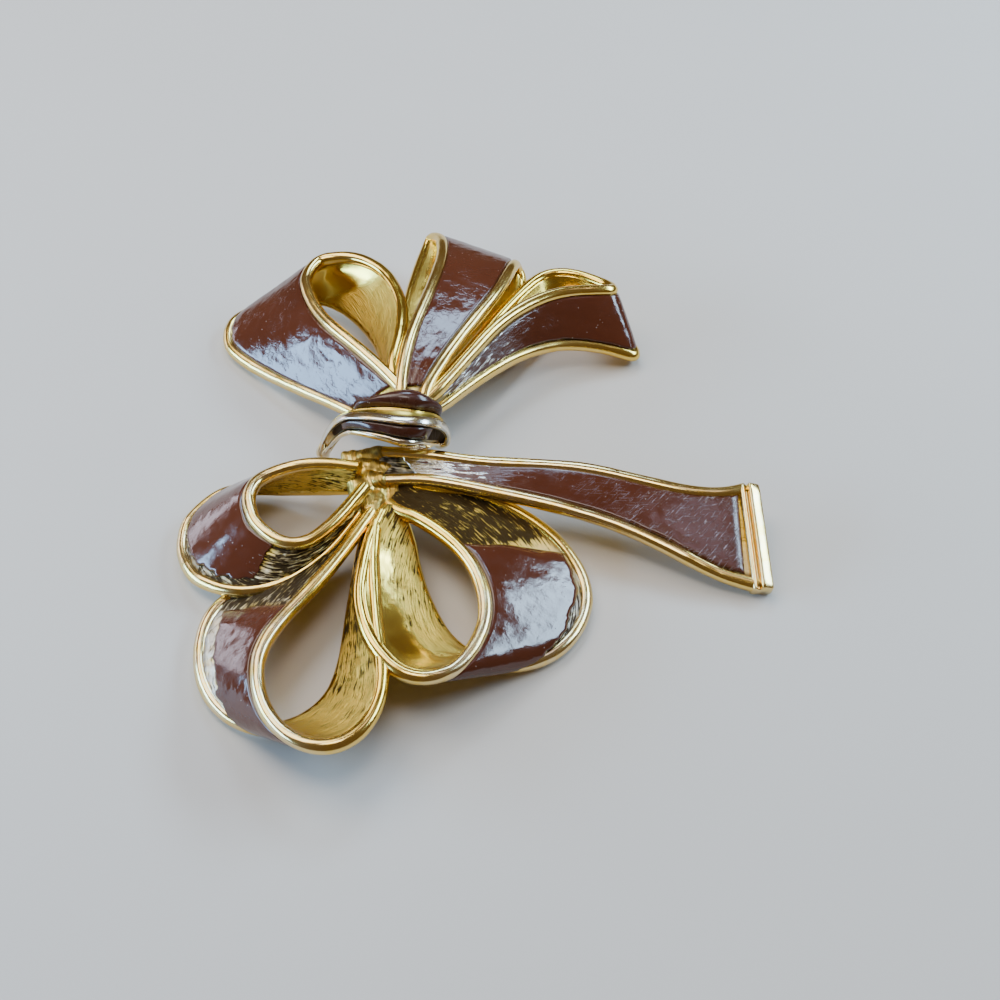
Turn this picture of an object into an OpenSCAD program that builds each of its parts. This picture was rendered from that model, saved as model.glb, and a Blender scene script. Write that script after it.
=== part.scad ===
/* [Ribbon] */
// Thickness of the cast ribbon
sheet_t = 0.9; // [0.8:0.1:1.1]
// Width of the raised rim along each edge
rim_w = 1.4; // [1.2:0.1:1.6]
// Height of the rim above the channel floor
rim_h = 0.5; // [0.4:0.1:0.7]
// Height of a resting rim's middle above the surface
foot_z = 1.1; // [1:0.1:1.4]

/* [Enamel] */
// Depth of the enamel left below the top of the rims
enamel_below = 0.12; // [0.08:0.02:0.2]
// Gap between the enamel and the metal
enamel_gap = 0.08; // [0.06:0.01:0.12]

/* [Upper loops] */
// Reach of the upper left loop from the root
upper_left_reach = 28; // [26:1:30]
// Height of the upper left loop's crest
upper_left_crest = 8.2; // [7.4:0.2:9]
// Heading of the upper left loop
upper_left_heading = 133; // [129:1:137]
// Reach of the upper middle loop
upper_middle_reach = 31; // [28:1:33]
// Height of the upper middle loop's crest
upper_middle_crest = 9; // [8.4:0.2:9.6]
// Heading of the upper middle loop
upper_middle_heading = 75; // [73:1:77]
// Reach of the upper right loop
upper_right_reach = 30; // [28:1:32]
// Height of the upper right loop's crest
upper_right_crest = 8.4; // [7.8:0.2:9]
// Heading of the upper right loop
upper_right_heading = 33; // [30:1:36]

/* [Lower loops] */
// Reach of the lower left loop
lower_left_reach = 21; // [20:1:23]
// Height of the lower left loop's crest
lower_left_crest = 6.4; // [6:0.2:7]
// Heading of the lower left loop
lower_left_heading = 186; // [184:1:188]
// Reach of the bottom left loop
bottom_left_reach = 30; // [28:1:32]
// Height of the bottom left loop's crest
bottom_left_crest = 5.6; // [5.2:0.2:6.4]
// Heading of the bottom left loop
bottom_left_heading = 255; // [253:1:257]
// Reach of the bottom right loop
bottom_right_reach = 25; // [24:1:27]
// Height of the bottom right loop's crest
bottom_right_crest = 5.8; // [5.4:0.2:6.4]
// Heading of the bottom right loop
bottom_right_heading = 303; // [301:1:305]

/* [Tail] */
// Reach of the tail
tail_reach = 39; // [36:1:42]
// Height of the tail's crest
tail_crest = 5.8; // [5.4:0.2:6.4]
// Heading of the tail
tail_heading = -4; // [-6:1:-2]
// Width of the bar across the tail's end
end_bar_w = 2.2; // [1.8:0.1:2.6]
// Height of the end bar above the channel floor
end_bar_h = 1; // [0.8:0.1:1.3]
// How far the end bar stands past the lower rim of the tail
end_bar_past = 0.7; // [0.5:0.1:1]

/* [Knot] */
// Length of the knot band from side to side
knot_length = 14; // [13:0.5:15]
// Width of the knot band from front to back
knot_width = 6; // [5.5:0.25:6.5]
// Height of the knot's top
knot_top = 11; // [10.6:0.2:11.6]
// Thickness of the knot band
knot_t = 1.1; // [0.9:0.1:1.3]
// Height of the knot's rims above its channels
knot_rim_h = 0.4; // [0.35:0.05:0.5]
// Thickness of the knot's enamel
knot_enamel_t = 0.25; // [0.2:0.05:0.3]

/* [Pin] */
// Diameter of the pin's stem
pin_d = 0.9; // [0.8:0.1:1.1]
// Length of the pin's bar
pin_length = 17; // [15:0.5:17.5]
// Width of the pin's bar
pin_bar_w = 2.6; // [2:0.2:3]
// Thickness of the pin's bar
pin_bar_t = 0.7; // [0.6:0.1:0.8]
// Size of the hinge block and the catch block
pin_block = 1.8; // [1.5:0.1:2.1]
// Gap between the back of the loops and the pin's bar
pin_gap = 0.3; // [0.2:0.05:0.4]

/* [Hidden] */

gold = [0.84, 0.66, 0.30];
enamel_brown = [0.38, 0.23, 0.19];

// Steps that smooth one row of a table into the next
steps = 3;

// How far a ribbon's middle sinks below its sides, as a share of its thickness
dish = 0.06;

// How far the middle of an enamel panel rises above its sides
enamel_crown = 0.04;

// Place of the pin's middle along the back of the upper middle loop
pin_place = 0.35;

// Places of the knot and of the roots that the loops spring from
knot_at = [-9.25, -0.2];
upper_root = knot_at + [1.8, 5.5];
lower_left_root = knot_at + [-0.7, -5];
lower_root = knot_at + [-0.7, -8];
tail_root = knot_at + [-0.7, -3];

// A ribbon is [root, heading, reach, crest height, side that carries the enamel]
upper_left = [upper_root, upper_left_heading, upper_left_reach, upper_left_crest, 1];
upper_middle = [upper_root, upper_middle_heading, upper_middle_reach, upper_middle_crest, -1];
upper_right = [upper_root, upper_right_heading, upper_right_reach, upper_right_crest, -1];
lower_left = [lower_left_root, lower_left_heading, lower_left_reach, lower_left_crest, 1];
bottom_left = [lower_root, bottom_left_heading, bottom_left_reach, bottom_left_crest, -1];
bottom_right = [lower_root, bottom_right_heading, bottom_right_reach, bottom_right_crest, 1];
tail = [tail_root, tail_heading, tail_reach, tail_crest, -1];

// Each row of a ribbon's table is a section across it, from the root outwards and back.
// Columns: crest along, crest across, crest rise, foot along, foot across, foot rise.
// Along and across are shares of the reach, rise is a share from the foot to the crest.
upper_left_rows = [
    [-0.03, 0.01, 0.92, 0.08, 0.12, 0.40],
    [0.04, -0.015, 0.97, 0.20, 0.115, 0.34],
    [0.29, -0.035, 1.00, 0.455, 0.155, 0.18],
    [0.57, -0.05, 0.95, 0.695, 0.19, 0.04],
    [0.78, -0.13, 0.90, 0.88, 0.20, 0],
    [0.85, -0.19, 0.89, 0.96, 0.175, 0],
    [0.885, -0.255, 0.89, 1.025, 0.12, 0],
    [0.885, -0.315, 0.89, 1.06, 0.04, 0],
    [0.79, -0.41, 0.92, 1.02, -0.165, 0],
    [0.605, -0.43, 0.94, 0.865, -0.30, 0.05],
    [0.395, -0.34, 0.97, 0.615, -0.29, 0.18],
    [0.24, -0.20, 1.00, 0.38, -0.21, 0.38],
    [0.13, -0.065, 0.97, 0.19, -0.10, 0.63],
    [0.05, -0.045, 0.86, 0.11, -0.07, 0.58]
];
upper_middle_rows = [
    [-0.03, -0.015, 0.80, -0.02, -0.085, 0.80],
    [0.03, 0.015, 0.90, 0.055, -0.07, 0.87],
    [0.25, 0.05, 1.00, 0.285, -0.11, 0.95],
    [0.52, 0.06, 0.97, 0.54, -0.165, 0.92],
    [0.665, 0.07, 0.92, 0.665, -0.18, 0.87],
    [0.81, 0.095, 0.82, 0.80, -0.18, 0.77],
    [0.95, 0.145, 0.64, 0.89, -0.175, 0.59],
    [1.01, 0.195, 0.46, 0.91, -0.18, 0.42],
    [1.01, 0.21, 0.35, 0.90, -0.195, 0.31],
    [0.94, 0.215, 0.27, 0.82, -0.215, 0.25],
    [0.71, 0.19, 0.36, 0.65, -0.225, 0.34],
    [0.395, 0.135, 0.42, 0.34, -0.13, 0.41],
    [0.05, 0.015, 0.54, 0.045, -0.06, 0.54]
];
upper_right_rows = [
    [0.025, -0.065, 0.86, 0.035, -0.085, 0.70],
    [0.095, -0.06, 0.89, 0.115, -0.077, 0.67],
    [0.29, 0.023, 0.97, 0.325, -0.005, 0.59],
    [0.53, 0.13, 1.00, 0.545, 0.045, 0.48],
    [0.76, 0.16, 0.96, 0.735, 0.035, 0.35],
    [0.925, 0.11, 0.88, 0.885, -0.04, 0.19],
    [1.00, 0.09, 0.80, 0.97, -0.105, 0.06],
    [1.025, 0.125, 0.72, 1.005, -0.075, 0],
    [1.02, 0.18, 0.64, 1.01, -0.01, 0],
    [0.965, 0.285, 0.64, 0.965, 0.13, 0],
    [0.85, 0.35, 0.64, 0.84, 0.215, 0],
    [0.66, 0.285, 0.64, 0.635, 0.175, 0.10],
    [0.31, 0.10, 0.72, 0.31, 0.055, 0.40],
    [0.055, -0.03, 0.72, 0.055, -0.05, 0.58]
];
lower_left_rows = [
    [0.045, 0.07, 0.96, 0.08, 0.175, 0.66],
    [0.19, 0.275, 0.96, 0.24, 0.355, 0.43],
    [0.33, 0.395, 0.96, 0.465, 0.50, 0.31],
    [0.465, 0.375, 0.96, 0.68, 0.515, 0.26],
    [0.575, 0.25, 0.96, 0.87, 0.395, 0.12],
    [0.605, 0.165, 0.96, 0.935, 0.285, 0.05],
    [0.62, 0.075, 0.96, 0.97, 0.165, 0],
    [0.60, 0, 0.96, 0.965, 0.045, 0],
    [0.55, -0.065, 0.96, 0.925, -0.06, 0],
    [0.40, -0.12, 0.98, 0.755, -0.215, 0.02],
    [0.23, -0.11, 1.00, 0.445, -0.155, 0.17],
    [0.065, -0.06, 1.00, 0.125, -0.035, 0.55]
];
bottom_left_rows = [
    [0.04, 0.005, 1.00, 0.05, -0.025, 0.64],
    [0.23, -0.03, 1.00, 0.235, -0.19, 0.15],
    [0.40, -0.075, 1.00, 0.36, -0.36, 0],
    [0.545, -0.125, 1.00, 0.50, -0.415, 0],
    [0.675, -0.145, 1.00, 0.64, -0.39, 0],
    [0.795, -0.11, 1.00, 0.755, -0.325, 0],
    [0.90, -0.035, 1.00, 0.835, -0.235, 0],
    [0.965, 0.075, 1.00, 0.87, -0.13, 0],
    [0.96, 0.185, 1.00, 0.855, -0.025, 0],
    [0.885, 0.26, 1.00, 0.785, 0.055, 0],
    [0.765, 0.28, 1.00, 0.68, 0.095, 0],
    [0.64, 0.25, 1.00, 0.545, 0.085, 0],
    [0.50, 0.185, 1.00, 0.395, 0.06, 0.12],
    [0.255, 0.09, 0.96, 0.185, 0.02, 0.42],
    [0.085, 0.045, 0.96, 0.07, 0.015, 0.60]
];
bottom_right_rows = [
    [0.02, 0.06, 0.85, -0.04, 0.16, 0.62],
    [0.095, 0.07, 0.91, 0.06, 0.24, 0.62],
    [0.17, 0.115, 0.94, 0.16, 0.43, 0.50],
    [0.35, 0.17, 0.91, 0.42, 0.575, 0.30],
    [0.535, 0.17, 0.87, 0.645, 0.59, 0.05],
    [0.71, 0.10, 0.85, 0.80, 0.515, 0],
    [0.82, -0.015, 0.85, 0.90, 0.375, 0],
    [0.885, -0.155, 0.87, 0.93, 0.215, 0],
    [0.865, -0.27, 0.91, 0.89, 0.09, 0],
    [0.78, -0.345, 0.95, 0.79, -0.01, 0],
    [0.615, -0.36, 1.00, 0.645, -0.05, 0],
    [0.44, -0.31, 1.00, 0.475, -0.04, 0.12],
    [0.30, -0.22, 0.96, 0.32, 0, 0.27],
    [0.16, -0.105, 0.91, 0.185, 0.05, 0.48],
    [0.04, 0.03, 0.87, 0.06, 0.07, 0.74]
];
tail_rows = [
    [-0.005, 0.055, 0.96, 0.01, -0.04, 0.87],
    [0.13, 0.05, 1.00, 0.135, -0.03, 0.91],
    [0.305, 0.04, 0.91, 0.30, -0.05, 0.83],
    [0.495, 0.05, 0.87, 0.48, -0.08, 0.74],
    [0.66, 0.027, 0.83, 0.65, -0.12, 0.59],
    [0.81, -0.003, 0.74, 0.80, -0.18, 0.40],
    [0.925, 0, 0.66, 0.92, -0.23, 0.18],
    [0.99, 0.026, 0.61, 1.02, -0.247, 0.03]
];

// Where each enamel panel starts and ends, in rows of its ribbon's table
upper_left_panel = [1, 8];
upper_middle_panel = [1, 7];
upper_right_panel = [1.33, 7];
lower_left_panel = [3, 9];
bottom_left_panel = [2.67, 8];
bottom_right_panel = [3.33, 8];
tail_panel = [0.67, 6.67];

// The knot's four edges from left to right, a row for each section of its arch.
// Columns: share of half the length, share of the width, rise as a share of the top.
knot_front_foot = [
    [-0.96, 0.22, 0.17], [-0.86, 0.18, 0.33], [-0.71, 0.12, 0.51], [-0.51, -0.05, 0.70],
    [-0.26, -0.25, 0.80], [0.06, -0.42, 0.84], [0.31, -0.50, 0.82], [0.51, -0.42, 0.75],
    [0.66, -0.24, 0.62], [0.76, -0.02, 0.52], [0.82, 0.08, 0.44]
];
knot_front_crest = [
    [-1.00, 0.25, 0.23], [-0.93, 0.23, 0.41], [-0.79, 0.17, 0.635], [-0.56, 0.08, 0.84],
    [-0.27, -0.07, 0.94], [0.06, -0.20, 0.98], [0.34, -0.25, 0.98], [0.63, -0.17, 0.93],
    [0.86, 0, 0.79], [0.97, 0.10, 0.60], [0.94, 0.12, 0.45]
];
knot_cap_front = [
    [-0.99, 0.43, 0.25], [-0.90, 0.42, 0.42], [-0.77, 0.37, 0.62], [-0.53, 0.32, 0.78],
    [-0.24, 0.27, 0.86], [0.06, 0.17, 0.93], [0.33, 0.12, 0.94], [0.54, 0.13, 0.90],
    [0.77, 0.30, 0.76], [0.89, 0.40, 0.59], [0.87, 0.40, 0.43]
];
knot_cap_back = [
    [-0.96, 0.53, 0.23], [-0.87, 0.55, 0.41], [-0.73, 0.50, 0.61], [-0.50, 0.43, 0.78],
    [-0.25, 0.42, 0.89], [0.03, 0.42, 0.98], [0.29, 0.45, 1.01], [0.52, 0.47, 0.98],
    [0.77, 0.50, 0.83], [0.85, 0.53, 0.65], [0.84, 0.52, 0.46]
];
// Where the knot's enamel starts and ends, in rows of its tables
knot_front_panel = [2.67, 7.67];
knot_cap_panel = [3.33, 8.67];

function unit(v) = v / norm(v);
function mix(a, b, t) = a + (b - a) * t;

// A smooth curve through four rows, at share t from the second to the third
function through(a, b, c, d, t) =
    (2 * b + (c - a) * t + (2 * a - 5 * b + 4 * c - d) * t * t
     + (3 * b - a - 3 * c + d) * t * t * t) / 2;

function row_at(rows, i) =
    i < 0 ? 2 * rows[0] - rows[1]
    : i >= len(rows) ? 2 * rows[len(rows) - 1] - rows[len(rows) - 2]
    : rows[i];

function smooth(rows) = [
    for (i = [0 : len(rows) - 2])
        for (k = [0 : steps - 1])
            through(row_at(rows, i - 1), rows[i], rows[i + 1], row_at(rows, i + 2), k / steps),
    rows[len(rows) - 1]
];

// A point of a ribbon's edge in the brooch's frame
function edge_point(ribbon, along, across, rise) =
    let (root = ribbon[0], h = ribbon[1], reach = ribbon[2], crest = ribbon[3])
    [root[0] + reach * (along * cos(h) - across * sin(h)),
     root[1] + reach * (along * sin(h) + across * cos(h)),
     foot_z + rise * (crest - foot_z)];

// The crest and foot points of every smoothed section
function edges(ribbon, rows) = [
    for (r = smooth(rows))
        [edge_point(ribbon, r[0], r[1], r[2]), edge_point(ribbon, r[3], r[4], r[5])]
];

function middle(e) = (e[0] + e[1]) / 2;

// Direction square to the ribbon, on the side that carries the enamel
function outward(e, i, side) =
    let (n = len(e), last = min(i + 1, n - 1), first = max(i - 1, 0))
    side * unit(cross(middle(e[last]) - middle(e[first]), e[i][1] - e[i][0]));

// Outline of the cast ribbon, as [place across, height above the channel floor]
function ribbon_outline(w) =
    let (r = min(rim_w, 0.5 * w) / 2, t = sheet_t, h = rim_h)
    [[-r, -0.7 * t], [-r, 0.25 * h], [-0.6 * r, 0.85 * h], [0, h], [0.65 * r, 0.8 * h], [r, 0],
     [w / 2, -dish * t], [w - r, 0], [w - 0.65 * r, 0.8 * h], [w, h],
     [w + 0.6 * r, 0.85 * h], [w + r, 0.25 * h], [w + r, -0.7 * t], [w + 0.5 * r, -t],
     [w / 2, -(1 + dish) * t], [-0.5 * r, -t]];

// Outline of the enamel that lies in the channel
function enamel_outline(w) =
    let (r = min(rim_w, 0.5 * w) / 2 + enamel_gap, top = rim_h - enamel_below)
    [[r, enamel_gap], [r, top], [w / 2, top + enamel_crown], [w - r, top],
     [w - r, enamel_gap], [w / 2, (1 - dish) * enamel_gap]];

function reversed(list) = [for (i = [len(list) - 1 : -1 : 0]) list[i]];

// Triangles between the points of the ribbon's outline, so that two sweeps that meet
// close their ends alike
ribbon_end = [[0, 1, 2], [0, 2, 3], [0, 3, 4], [0, 4, 5], [0, 5, 15], [5, 6, 15], [6, 14, 15],
              [6, 7, 14], [7, 13, 14], [7, 12, 13], [7, 8, 12], [8, 9, 12], [9, 10, 12],
              [10, 11, 12]];

// Skin through a list of sections with as many points each. Its ends are the faces given,
// or plain polygons, and it is turned inside out where its sections run the other way.
module loft(sections, ends = [], turned = false) {
    n = len(sections[0]);
    m = len(sections);
    points = [for (s = sections) for (p = s) p];
    sides = [
        for (i = [0 : m - 2])
            for (j = [0 : n - 1])
                let (k = (j + 1) % n, a = i * n + j, b = i * n + k, c = b + n, d = a + n)
                for (f = norm(points[a] - points[c]) < norm(points[b] - points[d])
                         ? [[a, b, c], [a, c, d]] : [[a, b, d], [b, c, d]]) f
    ];
    last = len(ends) > 0 ? ends : [[for (j = [0 : n - 1]) j]];
    faces = concat([for (f = last) reversed(f)], sides,
                   [for (f = last) [for (j = f) (m - 1) * n + j]]);
    polyhedron(points, turned ? [for (f = faces) reversed(f)] : faces);
}

// Sweep of an outline along a ribbon, between two of its sections
module sweep(ribbon, rows, kind, from, to) {
    e = edges(ribbon, rows);
    loft([
        for (i = [from : to])
            let (a = e[i][0], w = norm(e[i][1] - a), x = unit(e[i][1] - a),
                 z = outward(e, i, ribbon[4]))
            [for (p = kind == "gold" ? ribbon_outline(w) : enamel_outline(w))
                a + x * p[0] + z * p[1]]
    ], kind == "gold" ? ribbon_end : [], ribbon[4] < 0);
}

// The way out and the way back are two sweeps, which meet where the ribbon is farthest
// from its root, so that they may cross at the root
module ribbon_loop(ribbon, rows) {
    far = [for (e = edges(ribbon, rows)) norm(middle(e) - [ribbon[0][0], ribbon[0][1], 0])];
    fold = search(max(far), far)[0];
    sweep(ribbon, rows, "gold", 0, fold);
    sweep(ribbon, rows, "gold", fold, (len(rows) - 1) * steps);
}

module panel(ribbon, rows, span) {
    color(enamel_brown)
        sweep(ribbon, rows, "enamel", round(span[0] * steps), round(span[1] * steps));
}

// Pleats of a gathered root, each rounded over through three points.
// Columns of a row: radius, then along, across and height of its start, bend and end,
// with along and across counted from the knot.
module pleats(rows) {
    for (p = rows)
        for (i = [1, 4])
            hull()
                for (k = [i, i + 3])
                    translate([knot_at[0] + p[k], knot_at[1] + p[k + 1], p[k + 2]])
                        sphere(p[0], $fn = 10);
}

// From the middle of the knot to the upper loops
upper_pleats = [
    [0.9, -1.3, 1.5, 7.7, -1.5, 3.6, 6.3, -1.6, 4.9, 5.6],
    [0.9, -0.1, 1.5, 8.2, -0.1, 3.6, 6.6, -0.1, 5, 5.8],
    [0.9, 1.1, 1.5, 8.2, 1.3, 3.6, 6.6, 1.5, 5, 5.8],
    [0.9, 2.4, 1.5, 7.6, 2.7, 3.6, 6.4, 2.9, 4.9, 5.7]
];

// From the knot to the lower loops and the tail
lower_pleats = [
    [0.5, -4.1, -0.7, 4.9, -4.0, -1.5, 4.8, -3.3, -3.2, 4.7],
    [0.55, -3.3, -0.7, 5.1, -3.2, -1.6, 4.9, -2.7, -3.2, 4.9],
    [0.55, -2.4, -0.7, 5.1, -2.4, -1.8, 4.9, -2.1, -3.4, 4.9],
    [1.2, -3.1, -3.6, 4.4, -2.7, -4.6, 4.5, -2.0, -6.2, 4.5],
    [0.95, -1.4, -1, 4.6, -1.7, -4, 4.8, -1.4, -8, 4.4],
    [0.95, 0.3, -1, 4.5, -0.2, -4.5, 4.1, -0.6, -9, 4.3],
    [0.95, 1.8, -1, 4.4, 1.3, -4.5, 4, 1.6, -8.6, 4],
    [0.95, -2.1, -1.3, 4.9, -1.4, -1, 5.1, -0.5, -0.85, 5.4],
    [0.95, -1.7, -3.9, 4.8, -1, -4.4, 4.9, -0.2, -4.6, 5.05]
];

module upper_loops() {
    color(gold) union() {
        ribbon_loop(upper_left, upper_left_rows);
        ribbon_loop(upper_middle, upper_middle_rows);
        ribbon_loop(upper_right, upper_right_rows);
        pleats(upper_pleats);
    }
}

// Broad polished bar across the flared end of the tail: a thin ridge, a groove and a band.
// Columns: place along the tail and height, as shares of the bar's width and height.
end_bar_outline = [
    [-0.26, -1], [-0.26, 0.2], [-0.2, 0.5], [-0.07, 0.6], [0.05, 0.35], [0.16, 0.4],
    [0.3, 0.9], [0.5, 1], [0.66, 0.8], [0.74, 0.3], [0.72, -0.9]
];

module end_bar() {
    e = edges(tail, tail_rows);
    last = e[len(e) - 1];
    across = unit(last[1] - last[0]);
    out = outward(e, len(e) - 1, tail[4]);
    ahead = cross(out, across) * end_bar_w;
    // Columns: place across the end, size of the outline there
    length = norm(last[1] - last[0]) + end_bar_past;
    ends = [[-0.5 * end_bar_past, 0.7], [-0.2 * end_bar_past, 0.95],
            [length - 0.3 * end_bar_past, 1], [length, 0.75]];
    loft([
        for (s = ends)
            [for (p = end_bar_outline)
                last[0] + across * s[0] + ahead * (0.2 + (p[0] - 0.24) * s[1])
                + out * (p[1] > 0 ? p[1] * end_bar_h : p[1] * sheet_t) * s[1]]
    ]);
}

module lower_loops() {
    color(gold) union() {
        ribbon_loop(lower_left, lower_left_rows);
        ribbon_loop(bottom_left, bottom_left_rows);
        ribbon_loop(bottom_right, bottom_right_rows);
        ribbon_loop(tail, tail_rows);
        end_bar();
        pleats(lower_pleats);
    }
}

function knot_point(p) =
    [knot_at[0] + p[0] * knot_length / 2, knot_at[1] + p[1] * knot_width,
     foot_z + p[2] * (knot_top - foot_z)];

knot_front_foot_edge = [for (p = smooth(knot_front_foot)) knot_point(p)];
knot_front_crest_edge = [for (p = smooth(knot_front_crest)) knot_point(p)];
knot_cap_front_edge = [for (p = smooth(knot_cap_front)) knot_point(p)];
knot_cap_back_edge = [for (p = smooth(knot_cap_back)) knot_point(p)];

// Direction square to the strip between two edges of the knot
function strip_out(a, b, i) =
    unit(cross(a[min(i + 1, len(a) - 1)] - a[max(i - 1, 0)], b[i] - a[i]));

// A point between two edges of the knot, raised out of the strip between them
function between(a, b, i, share, height) =
    mix(a[i], b[i], share) + strip_out(a, b, i) * height;

// A point on the underside, drawn in both from the strip and towards the knot's axis
function under(a, b, i, share, t) =
    let (p = mix(a[i], b[i], share))
    p - unit(unit([p[0] - knot_at[0], 0, p[2] - 0.3 * knot_top])
             + strip_out(a, b, i)) * t;

function knot_section(i) =
    let (a = knot_front_foot_edge, b = knot_front_crest_edge, c = knot_cap_front_edge,
         d = knot_cap_back_edge,
         taper = min(1, 0.5 + 0.1 * min(i, len(a) - 1 - i)),
         t = knot_t * taper, h = knot_rim_h * taper)
    [between(a, b, i, -0.2, -0.4 * t), between(a, b, i, -0.22, 0.1 * h),
     between(a, b, i, -0.06, h), between(a, b, i, 0.12, 0.9 * h), between(a, b, i, 0.25, 0),
     between(a, b, i, 0.75, 0), between(a, b, i, 0.88, 0.9 * h), between(a, b, i, 1.05, h),
     between(b, c, i, 0.18, 0.3 * h), between(b, c, i, 0.5, -0.6 * h),
     between(b, c, i, 0.85, -0.2 * h), between(c, d, i, 0, 0.3 * h),
     between(c, d, i, 0.12, -0.8 * h), between(c, d, i, 0.95, -0.8 * h),
     between(c, d, i, 1.06, -0.3 * h), between(c, d, i, 1.2, -0.6 * h),
     between(c, d, i, 1.2, -1.6 * h), under(c, d, i, 0.7, t), under(b, c, i, 0.4, t),
     under(a, b, i, 0.7, t), under(a, b, i, 0.05, 0.8 * t)];

module knot_band() {
    color(gold) loft([for (i = [0 : len(knot_cap_back_edge) - 1]) knot_section(i)]);
}

// A strip of enamel between two edges of the knot, over a channel floor
module knot_strip(a, b, span, first, last, floor_h) {
    low = floor_h + enamel_gap;
    high = low + knot_enamel_t;
    loft([
        for (i = [round(span[0] * steps) : round(span[1] * steps)])
            [between(a, b, i, first, low), between(a, b, i, first, high),
             between(a, b, i, (first + last) / 2, high), between(a, b, i, last, high),
             between(a, b, i, last, low)]
    ]);
}

module knot_enamel() {
    color(enamel_brown) {
        knot_strip(knot_front_foot_edge, knot_front_crest_edge, knot_front_panel, 0.3, 0.7, 0);
        knot_strip(knot_cap_front_edge, knot_cap_back_edge, knot_cap_panel, 0.18, 0.9,
                   -0.8 * knot_rim_h);
    }
}

// Plain bar with a hinge block, a catch block and the stem between them, lying along the
// back of the upper middle loop
module pin() {
    e = edges(upper_middle, upper_middle_rows);
    near = middle(e[len(e) - 1 - steps]);
    far = middle(e[len(e) - 1 - 2 * steps]);
    slope = asin((near[2] - far[2]) / norm(near - far));
    color(gold)
        translate(mix(near, far, pin_place) - [0, 0, pin_gap])
            rotate([-slope, 0, atan2(far[1] - near[1], far[0] - near[0]) - 90])
                translate([0, -pin_length / 2, -pin_bar_t]) {
                    translate([-pin_bar_w / 2, 0, 0])
                        cube([pin_bar_w, pin_length, pin_bar_t]);
                    for (y = [0, pin_length - pin_block])
                        translate([-pin_block / 2, y, -pin_d - 0.3])
                            cube([pin_block, pin_block, pin_d + 0.4]);
                    translate([0, pin_block / 2, -0.5 * pin_d - 0.2])
                        rotate([-90, 0, 0])
                            cylinder(d = pin_d, h = pin_length - pin_block, $fn = 24);
                }
}

module upper_left_enamel() { panel(upper_left, upper_left_rows, upper_left_panel); }
module upper_middle_enamel() { panel(upper_middle, upper_middle_rows, upper_middle_panel); }
module upper_right_enamel() { panel(upper_right, upper_right_rows, upper_right_panel); }
module lower_left_enamel() { panel(lower_left, lower_left_rows, lower_left_panel); }
module bottom_left_enamel() { panel(bottom_left, bottom_left_rows, bottom_left_panel); }
module bottom_right_enamel() { panel(bottom_right, bottom_right_rows, bottom_right_panel); }
module tail_enamel() { panel(tail, tail_rows, tail_panel); }

upper_loops();
lower_loops();
knot_band();
upper_left_enamel();
upper_middle_enamel();
upper_right_enamel();
lower_left_enamel();
bottom_left_enamel();
bottom_right_enamel();
tail_enamel();
knot_enamel();
pin();
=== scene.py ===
"""Looks of the enamelled bow brooch, laid out as an add-on and run as a script."""

import math

import bmesh
import bpy
import numpy as np
from bpy.props import FloatProperty, FloatVectorProperty, IntProperty, PointerProperty
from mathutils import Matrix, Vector, noise


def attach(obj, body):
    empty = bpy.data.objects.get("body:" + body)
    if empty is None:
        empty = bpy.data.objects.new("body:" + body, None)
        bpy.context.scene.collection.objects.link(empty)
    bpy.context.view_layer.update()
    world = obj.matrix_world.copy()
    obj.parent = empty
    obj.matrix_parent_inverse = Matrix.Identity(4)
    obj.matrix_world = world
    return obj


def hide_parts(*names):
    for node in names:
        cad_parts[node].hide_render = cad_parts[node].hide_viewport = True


bl_info = {
    "name": "Enamelled Bow Brooch",
    "version": (1, 0, 0),
    "blender": (4, 5, 0),
    "location": "View3D > Sidebar > Brooch",
    "description": "Dresses a cast bow brooch in polished gold and brown enamel",
    "category": "Object",
}

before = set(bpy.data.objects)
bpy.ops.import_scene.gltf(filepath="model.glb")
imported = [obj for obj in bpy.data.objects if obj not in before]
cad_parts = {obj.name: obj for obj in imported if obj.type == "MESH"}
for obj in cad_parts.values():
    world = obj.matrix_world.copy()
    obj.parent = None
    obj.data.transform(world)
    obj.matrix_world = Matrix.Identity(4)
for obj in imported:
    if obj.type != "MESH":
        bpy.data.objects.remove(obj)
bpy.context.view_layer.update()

MM = 0.001
BODY = "root"
GOLD_SLOT = "gold"
ENAMEL_SLOT = "enamel"

# Sections between two rows of a ribbon's table, and between two rows of the knot's
RIBBON_STEPS = 12
KNOT_STEPS = 10
# Passes of smoothing that take the kinks out of a ribbon's and of the knot's edges
SOFTEN_PASSES = 24
KNOT_SOFTEN_PASSES = 12

# Places of the knot and of the roots that the loops spring from, in millimetres
KNOT_AT = np.array([-9.25, -0.2])
UPPER_ROOT = KNOT_AT + [1.8, 5.5]
LOWER_LEFT_ROOT = KNOT_AT + [-0.7, -5]
LOWER_ROOT = KNOT_AT + [-0.7, -8]
TAIL_ROOT = KNOT_AT + [-0.7, -3]

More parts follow.
